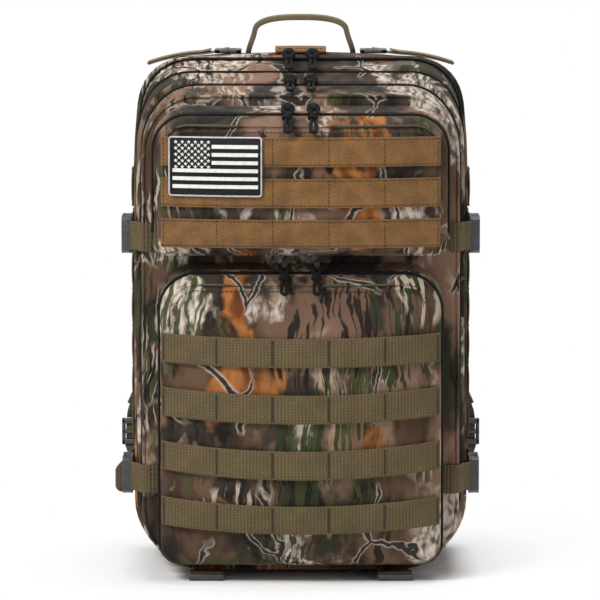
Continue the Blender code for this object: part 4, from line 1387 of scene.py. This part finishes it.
def makePad():
    half, column, seam = padHigh.x, pad["column"], pad["seam"]
    lowZ, highZ = padLow.z + pad["seamEnd"], padHigh.z - pad["seamEnd"]
    rows = []
    for i in range(pad["upright"] + 1):
        z = between(padLow.z, padHigh.z, i / pad["upright"])
        rows.append([padPoint(-half + 2 * half * k / pad["across"], z) for k in range(pad["across"] + 1)])
    piece = meshPiece("backPad", *grid(rows), "pack", spacer)
    crumple(piece, *pad["sink"], lambda p: clamped((p.y - backY) / pad["ease"]))
    thicken(piece, pad["mesh"])
    for x in (-column - seam, -column + seam, column - seam, column + seam):
        seamLine = [(x, padHigh.y - pad["seamDeep"], between(lowZ, highZ, share)) for share in shares(30)]
        stitch("pack", seamLine, facingBack)
    finished(piece, "back_pad", slot="mesh_pad")


makePad()


# Shoulder straps: curved foam pads with a bound edge and a webbing spine
shoulder = {"topX": 0.046, "lowX": 0.138, "topZ": 0.405, "lowZ": 0.116, "wide": 0.062, "taper": 0.012,
            "thick": 0.014, "arch": 0.026, "sweep": 1.5, "round": 1.3, "steps": 44, "around": 28,
            "slim": 0.985, "flat": 0.95, "square": (0.45, 0.75), "tipStart": 0.93, "tipRun": 0.07,
            "binding": 0.0017, "spine": 0.0012, "spineSeat": 0.96, "spineUp": 0.0006, "tackUp": 0.0013,
            "tacks": (4, 12, 20, 28, 36), "sink": (0.0008, 55.0, 2.2)}


def powered(value, power):
    return abs(value) ** power * (1 if value >= 0 else -1)


def makeShoulderStrap(side, sign):
    thick, around = shoulder["thick"], shoulder["around"]
    squareX, squareY = shoulder["square"]
    turns = [2 * pi * k / around for k in range(around)]
    centre, loops = [], []
    for share in shares(shoulder["steps"]):
        x = sign * between(shoulder["topX"], shoulder["lowX"], share ** shoulder["sweep"])
        out = shoulder["arch"] * max(0.0, sin(pi * share)) ** shoulder["round"]
        z = between(shoulder["topZ"], shoulder["lowZ"], share)
        place = Vector((x, padHigh.y + sewnGap + thick / 2 + out, z))
        half = (shoulder["wide"] - shoulder["taper"] * share) / 2 * shoulder["slim"]
        centre.append((place, half))
        # thinner and a little narrower toward the lower tip
        tip = sqrt(max(0.02, 1 - max(0.0, (share - shoulder["tipStart"]) / shoulder["tipRun"]) ** 2 * 0.9))
        wide, deep = half * (0.8 + 0.2 * tip), thick / 2 * shoulder["flat"] * tip
        ring = [(wide * powered(cos(turn), squareX), deep * powered(sin(turn), squareY), 0) for turn in turns]
        loops.append([place + Vector(point) for point in ring])
    padding = outward(meshPiece(f"shoulderPad{side}", *skin(loops, True, True), "pack", spacer))
    crumple(padding, *shoulder["sink"])
    pieces = [padding]
    for edge in (-1, 1):
        path = [place + alongX * (edge * half) for place, half in centre[1:-2]]
        pieces.append(tube("binding", path, shoulder["binding"], "pack", olive))
    spine = [place + alongY * (thick / 2 * shoulder["spineSeat"]) for place, half in centre[2:-1]]
    rows = [across(place + alongY * shoulder["spineUp"], alongX) for place in spine]
    pieces.append(strip("spine", rows, "pack", olive, shoulder["spine"]))
    whole = joined(f"shoulderStrap{side}", pieces, "pack")
    for mark in shoulder["tacks"]:
        place = spine[mark] + alongY * shoulder["tackUp"]
        stitch("pack", across(place, alongX, web * 0.85, 9), facingBack, "tack")
    finished(whole, f"shoulder_strap_{side}", slot="mesh_pad")


for side, sign in sides:
    makeShoulderStrap(side, sign)


# Strap ends: ladder adjuster and the webbing down to the bottom corner
strapEnd = {"bars": ((0.0, 0.005), (0.0100, 0.0135), (0.0190, 0.024)), "rail": 0.0032, "thick": 0.0012,
            "wave": 0.0012, "topIn": 0.002, "lowIn": 0.003, "threadWide": 0.9, "anchorX": 0.124,
            "anchorZ": 0.030, "bow": 0.0008}


def makeStrapEnd(side, sign):
    node = f"strap_adjuster_{side}"
    low, high = corners(node)
    pieces = []
    for start, end in strapEnd["bars"]:
        pieces.append(roundBox("bar", (low.x, low.y, low.z + start), (high.x, high.y, low.z + end)))
    for x0, x1 in ((low.x, low.x + strapEnd["rail"]), (high.x - strapEnd["rail"], high.x)):
        pieces.append(roundBox("rail", (x0, low.y, low.z), (x1, high.y, high.z)))
    middle = (low + high) / 2
    rows = []
    for step in range(7):
        z = between(high.z - strapEnd["topIn"], low.z + strapEnd["lowIn"], step / 6)
        y = middle.y + strapEnd["wave"] * cos(pi * step / 3)
        rows.append(across((middle.x, y, z), alongX, web * strapEnd["threadWide"]))
    pieces.append(strip("threaded", rows, "pack", olive, strapEnd["thick"]))
    finished(joined(f"strapAdjuster{side}", pieces, "pack"), node, slot="black_plastic")
    start = Vector((middle.x, middle.y, low.z - sewnGap))
    end = Vector((sign * strapEnd["anchorX"], backY + sewnGap + webThick / 2, strapEnd["anchorZ"]))
    rows = []
    for share in shares(16):
        bow = alongX * (sign * strapEnd["bow"] * sin(pi * share))
        rows.append(across(start.lerp(end, share) + bow, alongX))
    finished(strip(f"strapWebbing{side}", rows, "pack", olive, webThick), f"strap_webbing_{side}",
             slot="olive_webbing")


for side, sign in sides:
    makeStrapEnd(side, sign)


# Waist webbing, doubled back; the left end hangs out further
belts = {"L": {"fold": 0.0070, "reach": 0.006}, "R": {"fold": 0.0040, "reach": 0.0}}
beltHang, beltTip, beltTuck, beltEnd = 0.030, 0.018, 0.004, 0.40


def makeBelt(side, sign):
    node = f"waist_belt_{side}"
    low, high = corners(node)
    inner, outer = sorted((abs(low.x), abs(high.x)))
    sewn = backY + sewnGap + webThick / 2
    fold = belts[side]["fold"]
    turnX = outer - webThick / 2 - fold + belts[side]["reach"]
    route = [(between(inner, turnX, share), sewn + (fold - beltTuck) * eased(share)) for share in shares(14)]
    start = route[-1][1]
    for step in range(1, 17):
        turn = -pi / 2 + pi * step / 16
        route.append((turnX + fold * cos(turn), start + fold + fold * sin(turn)))
    route += [(between(turnX, inner, share), start + 2 * fold) for share in shares(14)[1:]]
    rows = []
    for x, y in route:
        middle = (high.z + low.z) / 2 - beltHang * eased((x - inner) / (turnX + fold - inner))
        along = clamped((x - turnX + beltTip) / (fold + beltTip))
        tall = (high.z - low.z) * (beltEnd + (1 - beltEnd) * sqrt(1 - 0.98 * along ** 3))
        rows.append(across((sign * x, y, middle), downward, tall, 7))
    finished(strip(f"waistBelt{side}", rows, "pack", brown, webThick), node, slot="olive_webbing")


for side, sign in sides:
    makeBelt(side, sign)


# Short straps under the front, each round a bar
under = {"barLong": 0.012, "barTall": 0.0066, "barRound": 0.002, "bandZ": 0.0072, "bandBow": 0.0005,
         "bandThick": 0.0012, "bandShare": 0.94, "bandY": (0.0012, -0.0116), "sewnIn": 0.0005, "endIn": 0.002}


def makeBottomStrap(side):
    node = f"bottom_strap_{side}"
    low, high = corners(node)
    middle = (low.x + high.x) / 2
    level = midLow.z - sewnGap - webThick / 2
    barY = pocketY + pocketDepth / 2
    sewnY, endY = high.y - under["sewnIn"], barY + under["endIn"]
    rows = [across((middle, between(sewnY, endY, share), level), alongX) for share in shares(8)]
    pieces = [strip("under", rows, "front", olive, webThick)]
    pieces.append(roundBox("bar", (low.x, barY - under["barLong"], 0.0),
                           (high.x, barY + webThick, under["barTall"]), under["barRound"], "front"))
    rows = []
    bandStart, bandEnd = under["bandY"]
    for share in shares(8):
        place = (middle, between(barY + bandStart, barY + bandEnd, share),
                 under["bandZ"] + under["bandBow"] * sin(pi * share))
        rows.append(across(place, alongX, (high.x - low.x) * under["bandShare"]))
    pieces.append(strip("band", rows, "front", olive, under["bandThick"]))
    finished(joined(f"bottomStrap{side}", pieces, "front"), node, slot="olive_webbing")


for side in "LR":
    makeBottomStrap(side)
print("harness hung")

units = {"plain": (stitchUnit, 0.0036, darkThread), "column": (stitchUnit, 0.0034, thread),
         "tack": (tackUnit, 0.0010, tackThread)}
for (body, kind), runs in stitching.items():
    finished(follow(f"stitches.{kind}.{body}", runs, *units[kind], body))
for unit in (stitchUnit, tackUnit, toothUnit):
    bpy.data.objects.remove(unit, do_unlink=True)
print("stitches set")


# Pale floor, soft light and the photograph's camera
lamps = (
    {"name": "key", "place": (-1.7, -2.1, 2.5), "size": 1.2, "power": 92.0},
    {"name": "top", "place": (0.3, 0.2, 2.7), "size": 1.4, "power": 36.0},
    {"name": "fill", "place": (2.2, -2.4, 1.0), "size": 1.6, "power": 8.0},
)
ground = {"reach": 16.0, "shade": (0.95, 0.95, 0.945, 1.0), "foot": (0.125, 0.085, 0.0),
          "fade": ((0.005, 0), (0.035, 0.60), (0.11, 0.91), (0.24, 1))}
room = {"light": 0.30, "seen": 1.0, "aim": (0, 0, 0.2)}
view = {"lens": 271.0, "sensor": 36.0, "end": 60.0, "elevation": 6.0, "away": 4.0,
        "target": (-0.0006, 0.0, 0.2357)}


def seenDirectly(tree):
    # One for what the camera sees, straight or by a reflection
    rays = put(tree, "LightPath").outputs
    reflected = sums(tree, "MAXIMUM", rays["Is Glossy Ray"], rays["Is Transmission Ray"])
    return sums(tree, "MAXIMUM", rays["Is Camera Ray"], reflected)


def makeFloor():
    # Takes the shadow near the pack and fades into the white round it; an opened front shows through
    mesh = bpy.data.meshes.new("floor")
    reach = ground["reach"]
    mesh.from_pydata([(-reach, -reach, 0), (reach, -reach, 0), (reach, reach, 0), (-reach, reach, 0)], [],
                     [(0, 1, 2, 3)])
    floor = added("floor", mesh)
    made, tree = newMaterial("paleFloor", 1.0, gloss=0.0)
    shader = shaderOf(made)
    shader.inputs["Base Color"].default_value = ground["shade"]
    flat = vectors(tree, "ABSOLUTE", put(tree, "TexCoord").outputs["Object"]).outputs[0]
    past = vectors(tree, "SUBTRACT", flat, ground["foot"]).outputs[0]
    outside = vectors(tree, "MAXIMUM", past, (0.0, 0.0, 0.0)).outputs[0]
    far = vectors(tree, "LENGTH", outside).outputs["Value"]
    share = sums(tree, "MULTIPLY", greys(tree, far, *ground["fade"]), seenDirectly(tree))
    clear = put(tree, "BsdfTransparent").outputs[0]
    mixed = put(tree, "MixShader", {0: share, 1: shader.outputs[0], 2: clear})
    tree.links.new(mixed.outputs[0], tree.nodes["Material Output"].inputs["Surface"])
    mesh.materials.append(made)
    floor.visible_shadow = False


def makeStage():
    makeFloor()
    scene = bpy.context.scene
    scene.world = bpy.data.worlds.new("studio")
    scene.world.use_nodes = True
    tree = scene.world.node_tree
    background = tree.nodes["Background"]
    background.inputs["Color"].default_value = (1.0, 1.0, 1.0, 1.0)
    feed(tree, background.inputs["Strength"],
         greys(tree, seenDirectly(tree), (0.0, room["light"]), (1.0, room["seen"])))
    for lamp in lamps:
        light = bpy.data.lights.new(lamp["name"], "AREA")
        light.energy = lamp["power"]
        light.size = lamp["size"]
        stand = added(lamp["name"], light)
        stand.location = lamp["place"]
        aim = Vector(room["aim"]) - stand.location
        stand.rotation_euler = aim.to_track_quat("-Z", "Y").to_euler()
    lens = bpy.data.cameras.new("camera")
    lens.lens = view["lens"]
    lens.sensor_width = view["sensor"]
    lens.clip_end = view["end"]
    camera = added("camera", lens)
    elevation = radians(view["elevation"])
    camera.location = Vector(view["target"]) + Vector((0, -cos(elevation), sin(elevation))) * view["away"]
    camera.rotation_euler = (pi / 2 - elevation, 0, 0)
    scene.camera = camera
    scene.view_settings.view_transform = "Standard"


makeStage()
bpy.context.view_layer.update()
